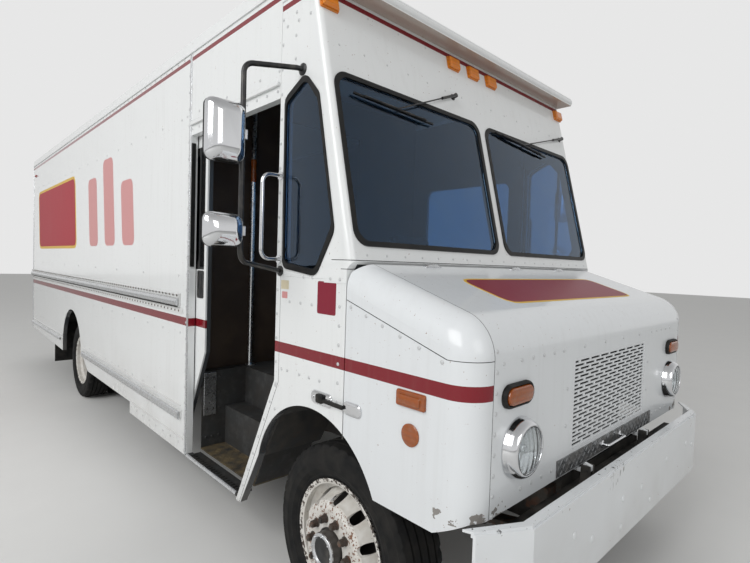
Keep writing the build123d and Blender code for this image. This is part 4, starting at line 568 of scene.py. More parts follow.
class Piece:
    """Points and faces of one made piece, in metres in the shared frame."""

    def __init__(self):
        self.points = []
        self.faces = []

    def add(self, points, faces):
        base = len(self.points)
        self.points += [Vector(p) for p in points]
        self.faces += [tuple(base + i for i in face) for face in faces]

    def grid(self, rows, closed=False):
        """Skin over rings of points, capped at both ends or closed from last to first."""
        count = len(rows[0])
        points = [p for row in rows for p in row]
        faces = []
        for i in range(len(rows) if closed else len(rows) - 1):
            low, high = i * count, (i + 1) % len(rows) * count
            for j in range(count):
                k = (j + 1) % count
                faces.append((low + j, low + k, high + k, high + j))
        if not closed:
            faces.append(tuple(reversed(range(count))))
            faces.append(tuple(range(len(points) - count, len(points))))
        self.add(points, faces)

    def turned(self, profile, place, steps, closed=False):
        """Lathe of (radius, height) points about the place's own z axis, in mm."""
        rows = []
        for radius, height in profile:
            rows.append([place @ Vector((radius / 1000 * math.cos(math.tau * s / steps),
                                         radius / 1000 * math.sin(math.tau * s / steps),
                                         height / 1000)) for s in range(steps)])
        self.grid(rows, closed)

    def tube(self, points, radius, sides):
        """Round bar through points in metres; radius in mm."""
        rows = []
        side = None
        for i, point in enumerate(points):
            before = points[max(i - 1, 0)]
            after = points[min(i + 1, len(points) - 1)]
            along = (after - before).normalized()
            if side is None:
                side = along.orthogonal().normalized()
            side = (side - along * side.dot(along)).normalized()
            up = along.cross(side)
            rows.append([point + (side * math.cos(math.tau * s / sides)
                                  + up * math.sin(math.tau * s / sides)) * radius / 1000
                         for s in range(sides)])
        self.grid(rows)

    def block(self, low, high):
        """Box between two corners given in mm."""
        a, b = at(*low), at(*high)
        corners = [(x, y, z) for x in (a.x, b.x) for y in (a.y, b.y) for z in (a.z, b.z)]
        self.add(corners, [(0, 1, 3, 2), (4, 6, 7, 5), (0, 4, 5, 1), (2, 3, 7, 6), (0, 2, 6, 4),
                           (1, 5, 7, 3)])

    def stepped(self, rings, place, closed=False):
        """Loft of rings, each a list of (x, y) in mm with its height; closed makes a frame."""
        rows = [[place @ Vector((x / 1000, y / 1000, h / 1000)) for x, y in ring]
                for ring, h in rings]
        self.grid(rows, closed)

    def rounded(self, sizes, place, steps=6, closed=False):
        """Loft of rectangles with round corners: width, height, radius and level in mm."""
        self.stepped([(rounded_rect(w, h, min(r, w / 2.1, h / 2.1), steps), level)
                      for w, h, r, level in sizes], place, closed)

    def make(self, name, body, finish, slot, bevel=0.0, angle=38.0):
        """The finished object: cleaned, shaded, painted, and riding on its body."""
        mesh = bpy.data.meshes.new(name)
        mesh.from_pydata([tuple(p) for p in self.points], [], self.faces)
        work = bmesh.new()
        work.from_mesh(mesh)
        bmesh.ops.remove_doubles(work, verts=work.verts, dist=1e-6)
        bmesh.ops.recalc_face_normals(work, faces=work.faces)
        work.to_mesh(mesh)
        work.free()
        mesh.shade_smooth()
        mesh.set_sharp_from_angle(angle=math.radians(angle))
        thing = bpy.data.objects.new(name, mesh)
        bpy.context.scene.collection.objects.link(thing)
        thing.data.materials.append(bpy.data.materials[finish])
        if bevel:
            rounding = thing.modifiers.new("edges", "BEVEL")
            rounding.width = bevel / 1000
            rounding.segments = 2
            rounding.limit_method = "ANGLE"
            rounding.angle_limit = math.radians(40)
        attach(thing, body)
        return thing


def facing(origin, outward, up=(0, 0, 1)):
    """Place whose z axis points outward and whose y axis is as near up as it can be."""
    z = Vector(outward).normalized()
    y = Vector(up) - z * Vector(up).dot(z)
    y = y.normalized() if y.length > 1e-6 else z.orthogonal().normalized()
    x = y.cross(z)
    turn = Matrix((x, y, z)).transposed().to_4x4()
    return Matrix.Translation(origin) @ turn


def on_side(side, y, z, out=0.0):
    """Place on the van's right (-1) or left (1) side, or out from its skin, facing outward."""
    return facing(at(side * (SIDE_X + out), y, z), (side, 0, 0))


def on_nose(x, z):
    """Place on the front panel of the nose, facing forward."""
    return facing(at(x, NOSE_Y, z), (0, -1, 0))


def on_rear(x, z, out=0.0):
    """Place on the body's rear, or out from it, facing back."""
    return facing(at(x, BODY_REAR + out, z), (0, 1, 0))


ARC_STEPS = 8


def rounded_path(points, radii):
    """Straight runs in mm joined by arcs; one radius for each inner corner."""
    corners = [at(*p) for p in points]
    path = [corners[0]]
    for i, radius in enumerate(radii, start=1):
        before = (corners[i - 1] - corners[i]).normalized()
        after = (corners[i + 1] - corners[i]).normalized()
        half = before.angle(after) / 2
        reach = radius / 1000 / math.tan(half)
        middle = (before + after).normalized() * (radius / 1000 / math.sin(half))
        centre = corners[i] + middle
        start = corners[i] + before * reach - centre
        end = corners[i] + after * reach - centre
        for s in range(ARC_STEPS + 1):
            spoke = start.slerp(end, s / ARC_STEPS).normalized() * radius / 1000
            path.append(centre + spoke)
    path.append(corners[-1])
    return path


def rounded_rect(width, height, radius, steps):
    """Outline of a rectangle with round corners, in mm about its middle."""
    outline = []
    for corner, (sx, sy) in enumerate(((1, 1), (-1, 1), (-1, -1), (1, -1))):
        for s in range(steps + 1):
            angle = math.pi / 2 * (corner + s / steps)
            outline.append((sx * (width / 2 - radius) + radius * math.cos(angle),
                            sy * (height / 2 - radius) + radius * math.sin(angle)))
    return outline


SKINS = {}

# Ways to look at the van: the direction, and how far back in metres the line starts
LOOKS = {
    "front": (Vector((0, 1, 0)), 3.0),
    "rear": (Vector((0, -1, 0)), 3.0),
    "right": (Vector((1, 0, 0)), 3.0),
    "left": (Vector((-1, 0, 0)), 3.0),
    "top": (Vector((0, 0, -1)), 2.0),
}


def landing(node, look, spot, back=None):
    """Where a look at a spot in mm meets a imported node: the point and the outward normal."""
    if node not in SKINS:
        mesh = frame["nodes"][node].data
        SKINS[node] = BVHTree.FromPolygons([v.co for v in mesh.vertices],
                                           [p.vertices for p in mesh.polygons])
    way, far = LOOKS[look]
    point, normal, _, _ = SKINS[node].ray_cast(at(*spot) - way * (back or far), way)
    if point is None:
        raise RuntimeError(f"nothing of {node} is met from the {look} at {spot}")
    return point, -normal if normal.dot(way) > 0 else normal


def rivet(piece, node, look, spot, scale):
    """One domed rivet seated on a node's skin."""
    fittings = bpy.context.scene.van_fittings
    radius = fittings.rivet_radius * 1000 * scale
    rise = fittings.rivet_rise * 1000 * scale
    dome = [(radius, -0.4), (radius, rise * 0.25), (radius * 0.82, rise * 0.72),
            (radius * 0.45, rise * 0.95)]
    piece.turned(dome, facing(*landing(node, look, spot)), steps=10)


# Rows of rivets: look, then across or along and up of the first and of the last, and count.
# Rows at the rear have node and body in place of the look.
NOSE_ROWS = [
    ("front", -965, 757, -965, 1287, 9),
    ("front", 965, 757, 965, 1287, 9),
    ("front", -927, 1244, -927, 1244, 1),
    ("front", -816, 1244, -505, 1244, 5),
    ("front", -318, 1244, 318, 1244, 4),
    ("front", 505, 1244, 816, 1244, 5),
    ("front", -792, 797, -568, 797, 4),
    ("front", 568, 797, 792, 797, 4),
    ("front", -462, 945, -462, 1091, 2),
    ("front", 462, 945, 462, 1091, 2),
    ("right", -88, 1384, -439, 1278, 5),
    ("right", -537, 1247, -560, 1243, 1),
    ("left", -88, 1384, -439, 1278, 5),
    ("left", -537, 1247, -560, 1243, 1),
]
CAB_ROWS = [
    ("side", 331, 1372, 165, 1372, 3),
    ("side", 383, 1061, 337, 1061, 2),
    ("side", 243, 1061, 98, 1061, 3),
    ("side", 229, 1486, 164, 1486, 2),
    ("side", 43, 1487, -17, 1487, 2),
    ("side", -20, 1379, -20, 1000, 6),
    ("side", 433, 864, 433, 2640, 17),
    ("side", 330, 2440, 330, 2640, 3),
    ("side", 430, 985, 765, 305, 8),
    ("side", 225, 2600, 400, 2600, 3),
    ("front", -1000, 1585, 1000, 1585, 19),
    ("front", -1000, 2470, 1000, 2470, 15),
    ("front", -1000, 2665, 1000, 2665, 11),
]
BODY_ROWS = [  # all on the sides
    (460, 2420, 1500, 2420, 7),
    (470, 2330, 1420, 2330, 11),
    (1586, 2415, 6900, 2462, 17),
    (1600, 1440, 6900, 1440, 9),
    (1560, 2776, 6900, 2776, 54),
    (1472, 350, 1472, 2760, 25),
    (6925, 520, 6925, 2760, 23),
    (1560, 380, 2500, 380, 8),
    (1560, 1080, 6900, 1080, 19),
    (2660, 640, 3960, 640, 8),
    (2000, 640, 2480, 640, 3),
    (5060, 700, 6860, 700, 10),
]
REAR_ROWS = [
    ("rear_frame", "chassis", -1010, 560, -1010, 2700, 22),
    ("rear_frame", "chassis", 1010, 560, 1010, 2700, 22),
    ("rear_frame", "chassis", -960, 2680, 960, 2680, 20),
    ("rear_door_left", "load_door_left", 60, 840, 60, 2500, 17),
    ("rear_door_left", "load_door_left", 930, 840, 930, 2500, 17),
    ("rear_door_right", "load_door_right", -60, 840, -60, 2500, 17),
    ("rear_door_right", "load_door_right", -930, 840, -930, 2500, 17),
]


def rivet_row(piece, node, look, first, low, last, high, count, scale=1.0):
    """Evenly spaced rivets from one place to another."""
    for i in range(count):
        share = i / (count - 1) if count > 1 else 0.0
        run, z = first + (last - first) * share, low + (high - low) * share
        spot = {"front": (run, 0, z), "rear": (run, BODY_REAR, z)}.get(look, (0, run, z))
        rivet(piece, node, look, spot, scale)


def build_rivets():
    """Rivets of the nose, cab, body and rear."""
    finish = "weathered enamel on rivets"
    nose = Piece()
    for look, *row in NOSE_ROWS:
        rivet_row(nose, "nose_shell", look, *row)
    nose.make("nose_rivets", "nose", finish, "white_paint")
    for look in ("right", "left"):
        cab, body = Piece(), Piece()
        for way, *row in CAB_ROWS:
            if way == "side":
                rivet_row(cab, "cab_shell", look, *row)
            elif look == "right":
                rivet_row(cab, "cab_shell", way, *row, 0.7)
        for row in BODY_ROWS:
            rivet_row(body, f"wall_{look}", look, *row, 1.05)
        cab.make(f"cab_rivets_{look}", "chassis", finish, "white_paint")
        body.make(f"body_rivets_{look}", "chassis", finish, "white_paint")
    rows = {}
    for node, body_name, *row in REAR_ROWS:
        rivet_row(rows.setdefault((node, body_name), Piece()), node, "rear", *row, 0.8)
    for (node, body_name), piece in rows.items():
        piece.make(f"{node}_rivets", body_name, finish, "white_paint")


# Tyres

TYRE_PLACES = [  # node, body, centres of the tyres across the van, y of the axle
    ("front_tyre_right", "front_right", (-955.0,), 0.0),
    ("front_tyre_left", "front_left", (955.0,), 0.0),
    ("rear_tyre_right", "rear_right", (-896.0, -634.0), REAR_AXLE),
    ("rear_tyre_left", "rear_left", (896.0, 634.0), REAR_AXLE),
]
TYRE_R = 402.0
TREAD_HALF = 92.0
GROOVES = (-58.0, -20.0, 20.0, 58.0)
TYRE_STEPS = 168           # four to each notch of the shoulder
NOTCH = 7.0                # depth of those notches


def tyre_section():
    """Outline of (radius, offset) from bead to bead over the tread, closed inside the rim."""
    side = [(258, 86), (266, 90), (272, 92.5), (276, 96), (281, 96), (284, 99), (300, 107),
            (303, 108.5), (306, 108), (330, 112), (333, 112.8), (336, 112), (356, 110),
            (372, 106), (376, 107), (380, 105.5), (390, 100)]
    across = [(r, -o) for r, o in side]
    across.append((397, -TREAD_HALF - 3))
    across.append((TYRE_R - 2, -TREAD_HALF + 6))
    depth = bpy.context.scene.van_fittings.groove_depth * 1000
    for middle in GROOVES:
        across += [(TYRE_R, middle - 5.5), (TYRE_R - depth, middle - 3.5),
                   (TYRE_R - depth, middle + 3.5), (TYRE_R, middle + 5.5)]
    across.append((TYRE_R - 2, TREAD_HALF - 6))
    across.append((397, TREAD_HALF + 3))
    return across + side[::-1]


def build_tyres():
    """Tyres with grooved tread, single in front and in pairs at the rear."""
    section = tyre_section()
    for node, body, centres, axle_y in TYRE_PLACES:
        tyre = Piece()
        for centre in centres:
            rows = []
            for s in range(TYRE_STEPS):
                angle = math.tau * s / TYRE_STEPS
                row = []
                for radius, offset in section:
                    notched = s % 4 == 0 and abs(offset) > 64 and radius > 388
                    r = radius - (NOTCH if notched else 0.0)
                    row.append(at(centre + offset, axle_y + r * math.sin(angle),
                                  AXLE_Z + r * math.cos(angle)))
                rows.append(row)
            tyre.grid(rows, closed=True)
        made = tyre.make(node + "_tread", body, "tyre rubber", "tyre_rubber", angle=32)
        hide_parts(node)


# Wheels

NUTS = 10
NUT_CIRCLE_R = 112.5
HUB_BOLTS = 8
HUB_BOLT_R = 61.0
FRONT_NUT_X = 1108.0       # outer face of the front nuts
REAR_NUT_X = 799.0         # outer face of the rear nuts
HUB_X = 1119.7             # outer face of the front hubs
VALVE = (1040.0, 205.0)    # where the valve leaves the rim: across the van, above the axle


def build_wheel_trim():
    """Studs in the nuts, and rings, grease caps and valves at the front."""
    radius = bpy.context.scene.van_fittings.stud_radius * 1000
    for side, word in ((-1, "right"), (1, "left")):
        for end, nut_x, axle_y in (("front", FRONT_NUT_X, 0.0), ("rear", REAR_NUT_X, REAR_AXLE)):
            studs = Piece()
            for number in range(NUTS):
                angle = math.tau * (number + 0.5) / NUTS
                spot = at(side * (nut_x - 1), axle_y + NUT_CIRCLE_R * math.sin(angle),
                          AXLE_Z + NUT_CIRCLE_R * math.cos(angle))
                place = facing(spot, (side, 0, 0))
                thread = [(radius * (1.0 if i % 2 else 0.88), i * 1.5) for i in range(6)]
                studs.turned([*thread, (radius * 0.6, 9)], place, steps=12)
                studs.turned([(15.5, -26), (19, -25.5), (19, -22), (14, -20)], place, steps=16)
            studs.make(f"{end}_studs_{word}", f"{end}_{word}", "rough forged steel", "cast_steel")
        cap = Piece()
        place = facing(at(side * HUB_X, 0, AXLE_Z), (side, 0, 0))
        cap.turned([(69, 0), (69, 6), (65, 9), (57, 9), (54, 4), (52, 1), (20, 0.8)], place,
                   steps=36)
        for number in range(HUB_BOLTS):
            angle = math.tau * number / HUB_BOLTS
            bolt = place @ Matrix.Translation((HUB_BOLT_R / 1000 * math.cos(angle),
                                               HUB_BOLT_R / 1000 * math.sin(angle), 0.008))
            cap.turned([(5, 0), (5, 4), (4, 5.5)], bolt, steps=6)
        cap.make(f"hub_ring_{word}", f"front_{word}", "extruded aluminium", "aluminium")
        pool = Piece()
        pool.turned([(52, 1), (51, 2.2), (30, 1.6), (12, 3.6), (4, 4)], place, steps=36)
        pool.make(f"hub_grease_{word}", f"front_{word}", "black powder coat", "chassis_black")
        valve = Piece()
        start = at(side * VALVE[0], 0, AXLE_Z + VALVE[1])
        valve.tube([start, start + Vector((side * 0.018, 0, 0)),
                    start + Vector((side * 0.040, 0, -0.012))], 4.2, 10)
        valve.make(f"tyre_valve_{word}", f"front_{word}", "chromium plate", "chrome")


# Lamps

HEADLAMP = (818.0, 950.0)  # x and z on the front panel
LENS_R = 79.6
LENS_BULGE = 14.0
LENS_TOP = 57.0            # how far the lens stands out from the nose
BEZEL = [(105, 0.3), (105, 5), (103, 9), (102, 18), (99, 29), (94, 38), (89, 44), (85, 47),
         (81.5, 47.5), (80.2, 45), (80.2, 36), (80.2, 0.3)]
TURN_LAMP = (842.0, 1134.0)  # x and z on the front panel
TURN_GROMMET = [(184, 80, 0.3), (184, 80, 9), (180, 76, 15), (172, 68, 18), (163, 62, 16),
                (157, 58.5, 9), (156, 57.5, 3)]  # length, height and level of each pill shape
TURN_LENS = [(155, 57, 4), (155, 57, 19), (150, 52, 22.5), (138, 40, 24)]
SIDE_MARKER = (-414.0, 1099.0)  # y and z on the sides
REFLECTOR = (-414.0, 979.0)  # y and z on the sides


def build_headlamps():
    """Fluted lenses over bowls, in bright bezels."""
    lens, bowl, shield, rings = Piece(), Piece(), Piece(), Piece()
    crown = (LENS_R ** 2 + LENS_BULGE ** 2) / (2 * LENS_BULGE)
    for side in (-1, 1):
        place = on_nose(side * HEADLAMP[0], HEADLAMP[1])
        skin = []
        for i in range(13):
            radius = LENS_R * (1 - i / 12.6)
            skin.append((radius, LENS_TOP - crown + math.sqrt(crown ** 2 - radius ** 2)))
        inner = [(r * 0.985, h - 3.2) for r, h in reversed(skin)]
        lens.turned([*skin, *inner], place, steps=64, closed=True)
        rings.turned(BEZEL, place, steps=72, closed=True)
        parabola = [(r, 6 + 29 * (r / 78) ** 2) for r in (78, 72, 64, 54, 44, 34, 24, 16)]
        outside = [(r + 1.5, h - 2) for r, h in reversed(parabola)]
        bowl.turned([*parabola, *outside], place, steps=48, closed=True)
        shield.turned([(15, 4), (15, 16), (12, 22), (6, 25)], place, steps=24)
        shield.turned([(79.2, 35), (79.2, 41.4), (75.5, 41.4), (75.5, 35)], place, steps=48,
                      closed=True)
    glass = lens.make("headlamp_glass", "nose", "fluted lens glass", "lamp_glass")
    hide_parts("headlamp_lenses")
    made = rings.make("headlamp_bezels", "nose", "chromium plate", "chrome", angle=50)
    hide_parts("headlamp_rings")
    bowl.make("headlamp_bowls", "nose", "chromium plate", "chrome")
    shield.make("headlamp_shields", "nose", "chromium plate", "chrome")


def build_nose_lamps():
    """Turn lamps in their grommets, side markers and reflectors."""
    grommets, lenses, bases, buttons = Piece(), Piece(), Piece(), Piece()
    for side in (-1, 1):
        place = on_nose(side * TURN_LAMP[0], TURN_LAMP[1])
        for piece, sizes in ((grommets, TURN_GROMMET), (lenses, TURN_LENS)):
            piece.stepped([(rounded_rect(a, b, b / 2 - 0.01, 12), h) for a, b, h in sizes], place)
        bases.rounded([(129, 56, 7, 0.3), (129, 56, 7, 7), (124, 51, 7, 11), (96, 34, 7, 11.5),
                       (92, 30, 7, 18), (84, 22, 7, 20)], on_side(side, *SIDE_MARKER))
        buttons.turned([(39, 0.3), (39, 4), (36, 6), (20, 6.2)], on_side(side, *REFLECTOR), 48)
    rubber = grommets.make("turn_lamp_grommets", "nose", "moulded black rubber", "black_rubber")
    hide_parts("nose_lamps")
    lenses.make("turn_lamp_lenses", "nose", "amber lens painted shaded", "amber_lens")
    bases.make("side_marker_lenses", "nose", "amber lens painted shaded", "amber_lens")
    buttons.make("side_reflectors", "nose", "amber lens painted shaded", "amber_lens")


# Mirrors

MIRROR_HEADS = [  # z low, z high, width, depth
    (1930.0, 2170.0, 165.0, 70.0),
    (1600.0, 1735.0, 165.0, 60.0),
]
MIRROR_X = 1348.0
MIRROR_Y = 300.0


def build_mirrors():
    """Two mirror heads on a bent tube, on each side."""
    tubes, shells, rims, glasses, clamps = Piece(), Piece(), Piece(), Piece(), Piece()
    for side in (-1, 1):
        x = side * MIRROR_X
        tubes.tube(rounded_path([(side * 1087, 272, 2377), (side * 1116, 276, 2377),
                                 (x, MIRROR_Y, 2335), (x, MIRROR_Y, 1545),
                                 (side * 1088, 412, 1507)], [18, 45, 45]), 11, 16)
        for y, z, radius in ((272, 2377, 26), (412, 1507, 24)):
            tubes.turned([(radius, 0.3), (radius, 5), (radius * 0.7, 9)], on_side(side, y, z), 24)
        for low, high, w, depth in MIRROR_HEADS:
            h, middle = high - low, (low + high) / 2
            back = facing(at(side * (MIRROR_X - 8 + w / 2), MIRROR_Y + 20, middle), (0, -1, 0))
            shells.rounded([(w - 6, h - 6, 30, 10), (w, h, 34, 16), (w - 3, h - 3, 34, 26),
                            (w - 16, h - 16, 34, depth * 0.62), (w - 46, h - 50, 30, depth * 0.86),
                            (w - 92, h - 100, 18, depth - 1)], back)
            rims.rounded([(w - 2, h - 2, 34, 10), (w, h, 35, 4), (w - 8, h - 8, 32, 0),
                          (w - 22, h - 22, 26, 0), (w - 24, h - 24, 25, 5)], back)
            glasses.rounded([(w - 24, h - 24, 25, 2), (w - 24, h - 24, 25, 4)], back)
            clamps.block((x - 15, MIRROR_Y - 17, middle - 20), (x + 15, MIRROR_Y + 14, middle + 20))
    arms = tubes.make("mirror_arms", "chassis", "black powder coat", "black_plastic")
    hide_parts("mirrors")
    shells.make("mirror_shells", "chassis", "chromium plate", "chrome", angle=50)
    rims.make("mirror_rims", "chassis", "window seal rubber", "black_rubber")
    glasses.make("mirror_glasses", "chassis", "chromium plate", "chrome")
    clamps.make("mirror_clamps", "chassis", "extruded aluminium", "aluminium", bevel=3)


# Panels, bands and labels laid on the skin

BEDDING = 0.0002           # metres that they reach into it


def laid(piece, node, look, middle, size, radius, lift, slope):
    """Thin rounded rectangle laid on a node's skin; size is across and up, slope leans it."""
    width, height = size
    columns = 20 if width > 300 else 10
    rows = []
    for i in range(columns + 1):
        u = math.cos(math.pi * i / columns) * width / 2
        inset = max(0.0, radius - (width / 2 - abs(u)))
        reach = height / 2 - radius + math.sqrt(max(0.0, radius ** 2 - inset ** 2))
        outer, inner = [], []
        for j in range(9):
            v = reach * (j / 4 - 1)
            if look == "top":
                spot = (middle[0] + u + v * slope, middle[1] + v, middle[2])
            else:
                spot = (0, middle[1] + u + v * slope, middle[2] + v)
            point, normal = landing(node, look, spot)
            outer.append(point + normal * lift / 1000)
            inner.append(point - normal * BEDDING)
        rows.append(outer + inner[::-1])
    piece.grid(rows)


LAID = [  # name, body, node, look, finish, middle, size, radius, lift, slope
    ("hood_border", "nose", "nose_shell", "top", "yellow enamel on borders", (0, -385, 1300),
     (1290, 262), 60, 0.6, 0.0),
    ("hood_panel", "nose", "nose_shell", "top", "red enamel on panels", (0, -385, 1300),
     (1266, 238), 50, 1.0, 0.0),
    ("cab_placard", "chassis", "cab_shell", "right", "red enamel on panels", (0, 65, 1407),
     (122, 134), 8, 0.8, 0.0),
    ("cab_label_pale", "chassis", "cab_shell", "right", "label paper", (0, 372, 1446), (62, 40),
     3, 0.6, 0.0),
    ("cab_label_tan", "chassis", "cab_shell", "right", "faded red print", (0, 372, 1400),
     (44, 30), 3, 0.6, 0.0),
]
SIDE_PRINT = [  # the same for what is laid on both sides: name, finish, middle, size, radius, lift
    ("side_border_{}", "yellow enamel on borders", (0, 5450, 2005), (2130, 770), 90, 0.6),
    ("side_panel_{}", "red print on sides", (0, 5450, 2005), (2070, 710), 70, 1.0),
    ("side_band_{}_0", "faded red print", (0, 3700, 1960), (300, 640), 60, 0.6),
    ("side_band_{}_1", "faded red print", (0, 3180, 2020), (300, 760), 60, 0.6),
    ("side_band_{}_2", "faded red print", (0, 2660, 1900), (300, 520), 60, 0.6),
]
PRINT_SLOPE = 0.12         # how far the prints on the sides lean
for side_name in ("right", "left"):
    LAID += [(name.format(side_name), "chassis", f"wall_{side_name}", side_name, *rest,
              PRINT_SLOPE) for name, *rest in SIDE_PRINT]


def build_panels():
    """Painted panels, bands and blank labels."""
    for name, body, node, look, finish, *shape in LAID:
        piece = Piece()
        laid(piece, node, look, *shape)
        piece.make(name, body, finish, "white_paint")


# Body trim: strips, drip rails, rail bars and their screws, lugs

TRIM = [  # name, finish, slot, bevel, then low and high corners for the right side, mirrored
    ("door_drip_rails", "white enamel on cab sheet", "white_paint", 2.5,
     [((-1101, 452, 2352), (-1086, 1430, 2366)), ((-1101, 452, 2366), (-1097, 1430, 2374))]),
    ("door_post_strips", "extruded aluminium", "aluminium", 1.5,
     [((-1091, 1437, 330), (-1086, 1459, 2788))]),
    ("body_corner_strips", "extruded aluminium", "aluminium", 1.5,
     [((-1090, 6936, 505), (-1086, 6949, 2788))]),
    ("roof_edge_strips", "white enamel on roof sheet", "white_paint", 2.0,
     [((-1094, 470, 2786), (-1086, 6945, 2797))]),
    ("cab_seam_strips", "white enamel on cab sheet", "white_paint", 1.0,
     [((-1088, 84, 1484), (-1086, 440, 1490)), ((-1088, -54, 1470), (-1086, 84, 1476))]),
    ("step_ribs", "moulded black rubber", "black_rubber", 1.0,
     [((-1074, 804 + 30 * i, 340), (-1050, 818 + 30 * i, 343)) for i in range(20)]),
    ("rail_flanges", "white enamel on rails", "white_paint", 1.0,
     [((-1090, 1520, 1203), (-1085.8, 6938, 1237))]),
    # Black strips under the rail bars: rubber inserts, and painted shadow under the bars.
    ("rail_inserts_and_shadows", "moulded black rubber", "black_rubber", 0.5,
     [((-1106, 1562, 1240), (-1103.8, 6938, 1248)), ((-1103.5, 1520, 536), (-1101.8, 4000, 540))]),
    ("door_window_trims", "window seal rubber", "black_rubber", 2.0,
     [((-1086, 1426, 1500), (-1060, 1433.5, 2250))]),
]


RAIL_BARS = [  # y, y, z, half height, face, bulge of arched bars on the right, mirrored
    (1562.0, 6938.0, 1274.0, 25.0, 1103.8, 15.0),
    (1520.0, 4000.0, 562.0, 27.0, 1101.8, 13.0),
    (5012.0, 6898.0, 580.0, 19.0, 1101.8, 12.0),
    (790.0, 1430.0, 330.0, 12.0, 1080.0, 11.0),
]
RIDGES = [  # the same for low ridges pressed in the painted skin
    (1530.0, 4000.0, 618.0, 6.0, 1085.8, 4.5),
    (5012.0, 6898.0, 626.0, 5.0, 1085.8, 4.5),
    (1490.0, 2490.0, 418.0, 6.0, 1085.8, 4.5),
]
CAP_EDGE = (120.0, 2744.0)  # y and z of the roll along the front of the roof
SCREW_ROWS = ((1316, 18), (1218, 4))  # height, and distance out from the skin
SCREW_PITCH = 60.7
SCREWS = 89
SCREW_START = 1580.0
HANDLE_ROOM = 116.0         # half the width on the tread strip kept free for the handle
STEP_TOP = 0.62             # height in metres over which no lug is set


def arched_bar(piece, side, span, z, half, face, bulge, flutes):
    """Bar along the side whose section is a low arch, with fine flutes along it."""
    rows = []
    for y in span:
        ring = []
        for i in range(25):
            turn = math.pi * i / 24
            out = face + bulge * math.sin(turn) - (flutes if i % 2 else 0.0)
            ring.append(at(side * out, y, z - half * math.cos(turn)))
        rows.append(ring)
    piece.grid(rows)


def build_trim():
    """Straight trim, rail bars, skirt ridges, the brow's roll and the screws."""
    for name, finish, slot, bevel, boxes in TRIM:
        piece = Piece()
        for low, high in boxes:
            piece.block(low, high)
            piece.block((-low[0], low[1], low[2]), (-high[0], high[1], high[2]))
        piece.make(name, "chassis", finish, slot, bevel=bevel)
    for name, rows, flutes, finish, slot in (
            ("rail_bars", RAIL_BARS, 0.9, "extruded aluminium", "aluminium"),
            ("skirt_ridges", RIDGES, 0.0, "white enamel on rails", "white_paint")):
        bars = Piece()
        for side in (-1, 1):
            for y0, y1, z, half, face, bulge in rows:
                arched_bar(bars, side, (y0, y1), z, half, face, bulge, flutes)
        bars.make(name, "chassis", finish, slot)
    roll = Piece()
    roll.tube([at(-1090, CAP_EDGE[0], CAP_EDGE[1]), at(1090, CAP_EDGE[0], CAP_EDGE[1])], 24, 24)
    roll.make("brow_roll", "chassis", "white enamel on roof sheet", "white_paint")
    screws = Piece()
    for side in (-1, 1):
        for z, out in SCREW_ROWS:
            for i in range(SCREWS):
                screws.turned([(7, -0.3), (6.5, 1.8), (2.5, 3)],
                              on_side(side, SCREW_START + SCREW_PITCH * i, z, out), steps=8)
    screws.make("rail_screws", "chassis", "rough forged steel", "cast_steel")


def lug(piece, point, normal, up, turned):
    """One raised lozenge of tread plate, leaning one way or the other."""
    length = bpy.context.scene.van_fittings.lug_length * 1000
    place = facing(point, normal, up) @ Matrix.Rotation(math.radians(45 if turned else -45), 4, "Z")
    outline = [(length / 2, 0), (length / 4, 2.6), (-length / 4, 2.6), (-length / 2, 0),
               (-length / 4, -2.6), (length / 4, -2.6)]
    top = [(x * 0.8, y * 0.5) for x, y in outline]
    piece.stepped([(outline, -0.2), (outline, 0.4), (top, 1.3)], place)


def lug_field(piece, node, look, first, across, along, counts, up, back=None):
    """Lugs in rows, leaning by turns; from the top, only on treads no higher than the steps."""
    for i in range(counts[0]):
        for j in range(counts[1]):
            spot = [f + a * i + b * j for f, a, b in zip(first, across, along)]
            if look == "front" and abs(spot[0]) < HANDLE_ROOM and j < 2:
                continue
            point, normal = landing(node, look, spot, back)
            if look == "top" and (normal.z < 0.9 or point.z > STEP_TOP):
                continue
            lug(piece, point, normal, up, (i + j) % 2)


def build_lugs():
    """Lugs of the nose's tread strip and of the treads of the steps."""
    strip, steps = Piece(), Piece()
    lug_field(strip, "nose_fittings", "front", (-516, 0, 770), (23, 0, 0), (0, 0, 20.5), (46, 3),
              (0, 0, 1))
    strip.make("tread_strip_lugs", "nose", "aluminium tread plate", "tread_plate")
    for side in (-1, 1):
        lug_field(steps, "step_wells", "top", (side * 845, 800, 340), (side * 24, 0, 0),
                  (0, 32, 0), (8, 18), (0, 1, 0), 0.3)
    steps.make("step_lugs", "chassis", "trodden step plate", "aluminium")


# Wipers, hood latches, tread strip and handle of the nose

# x and z of a wiper's pivot, then of its blade's ends
WIPERS = [(-228, 2449, -962, 2264, -451, 2244), (1000, 2469, 137, 2332, 707, 2287)]
LATCH_Z = 993.0


def face_spot(x, z, out):
    """A point out from the windshield's plane by so many millimetres."""
    y = FACE[0] + (z - FACE[1]) * math.tan(LEAN)
    return at(x, y - out * math.cos(LEAN), z + out * math.sin(LEAN))


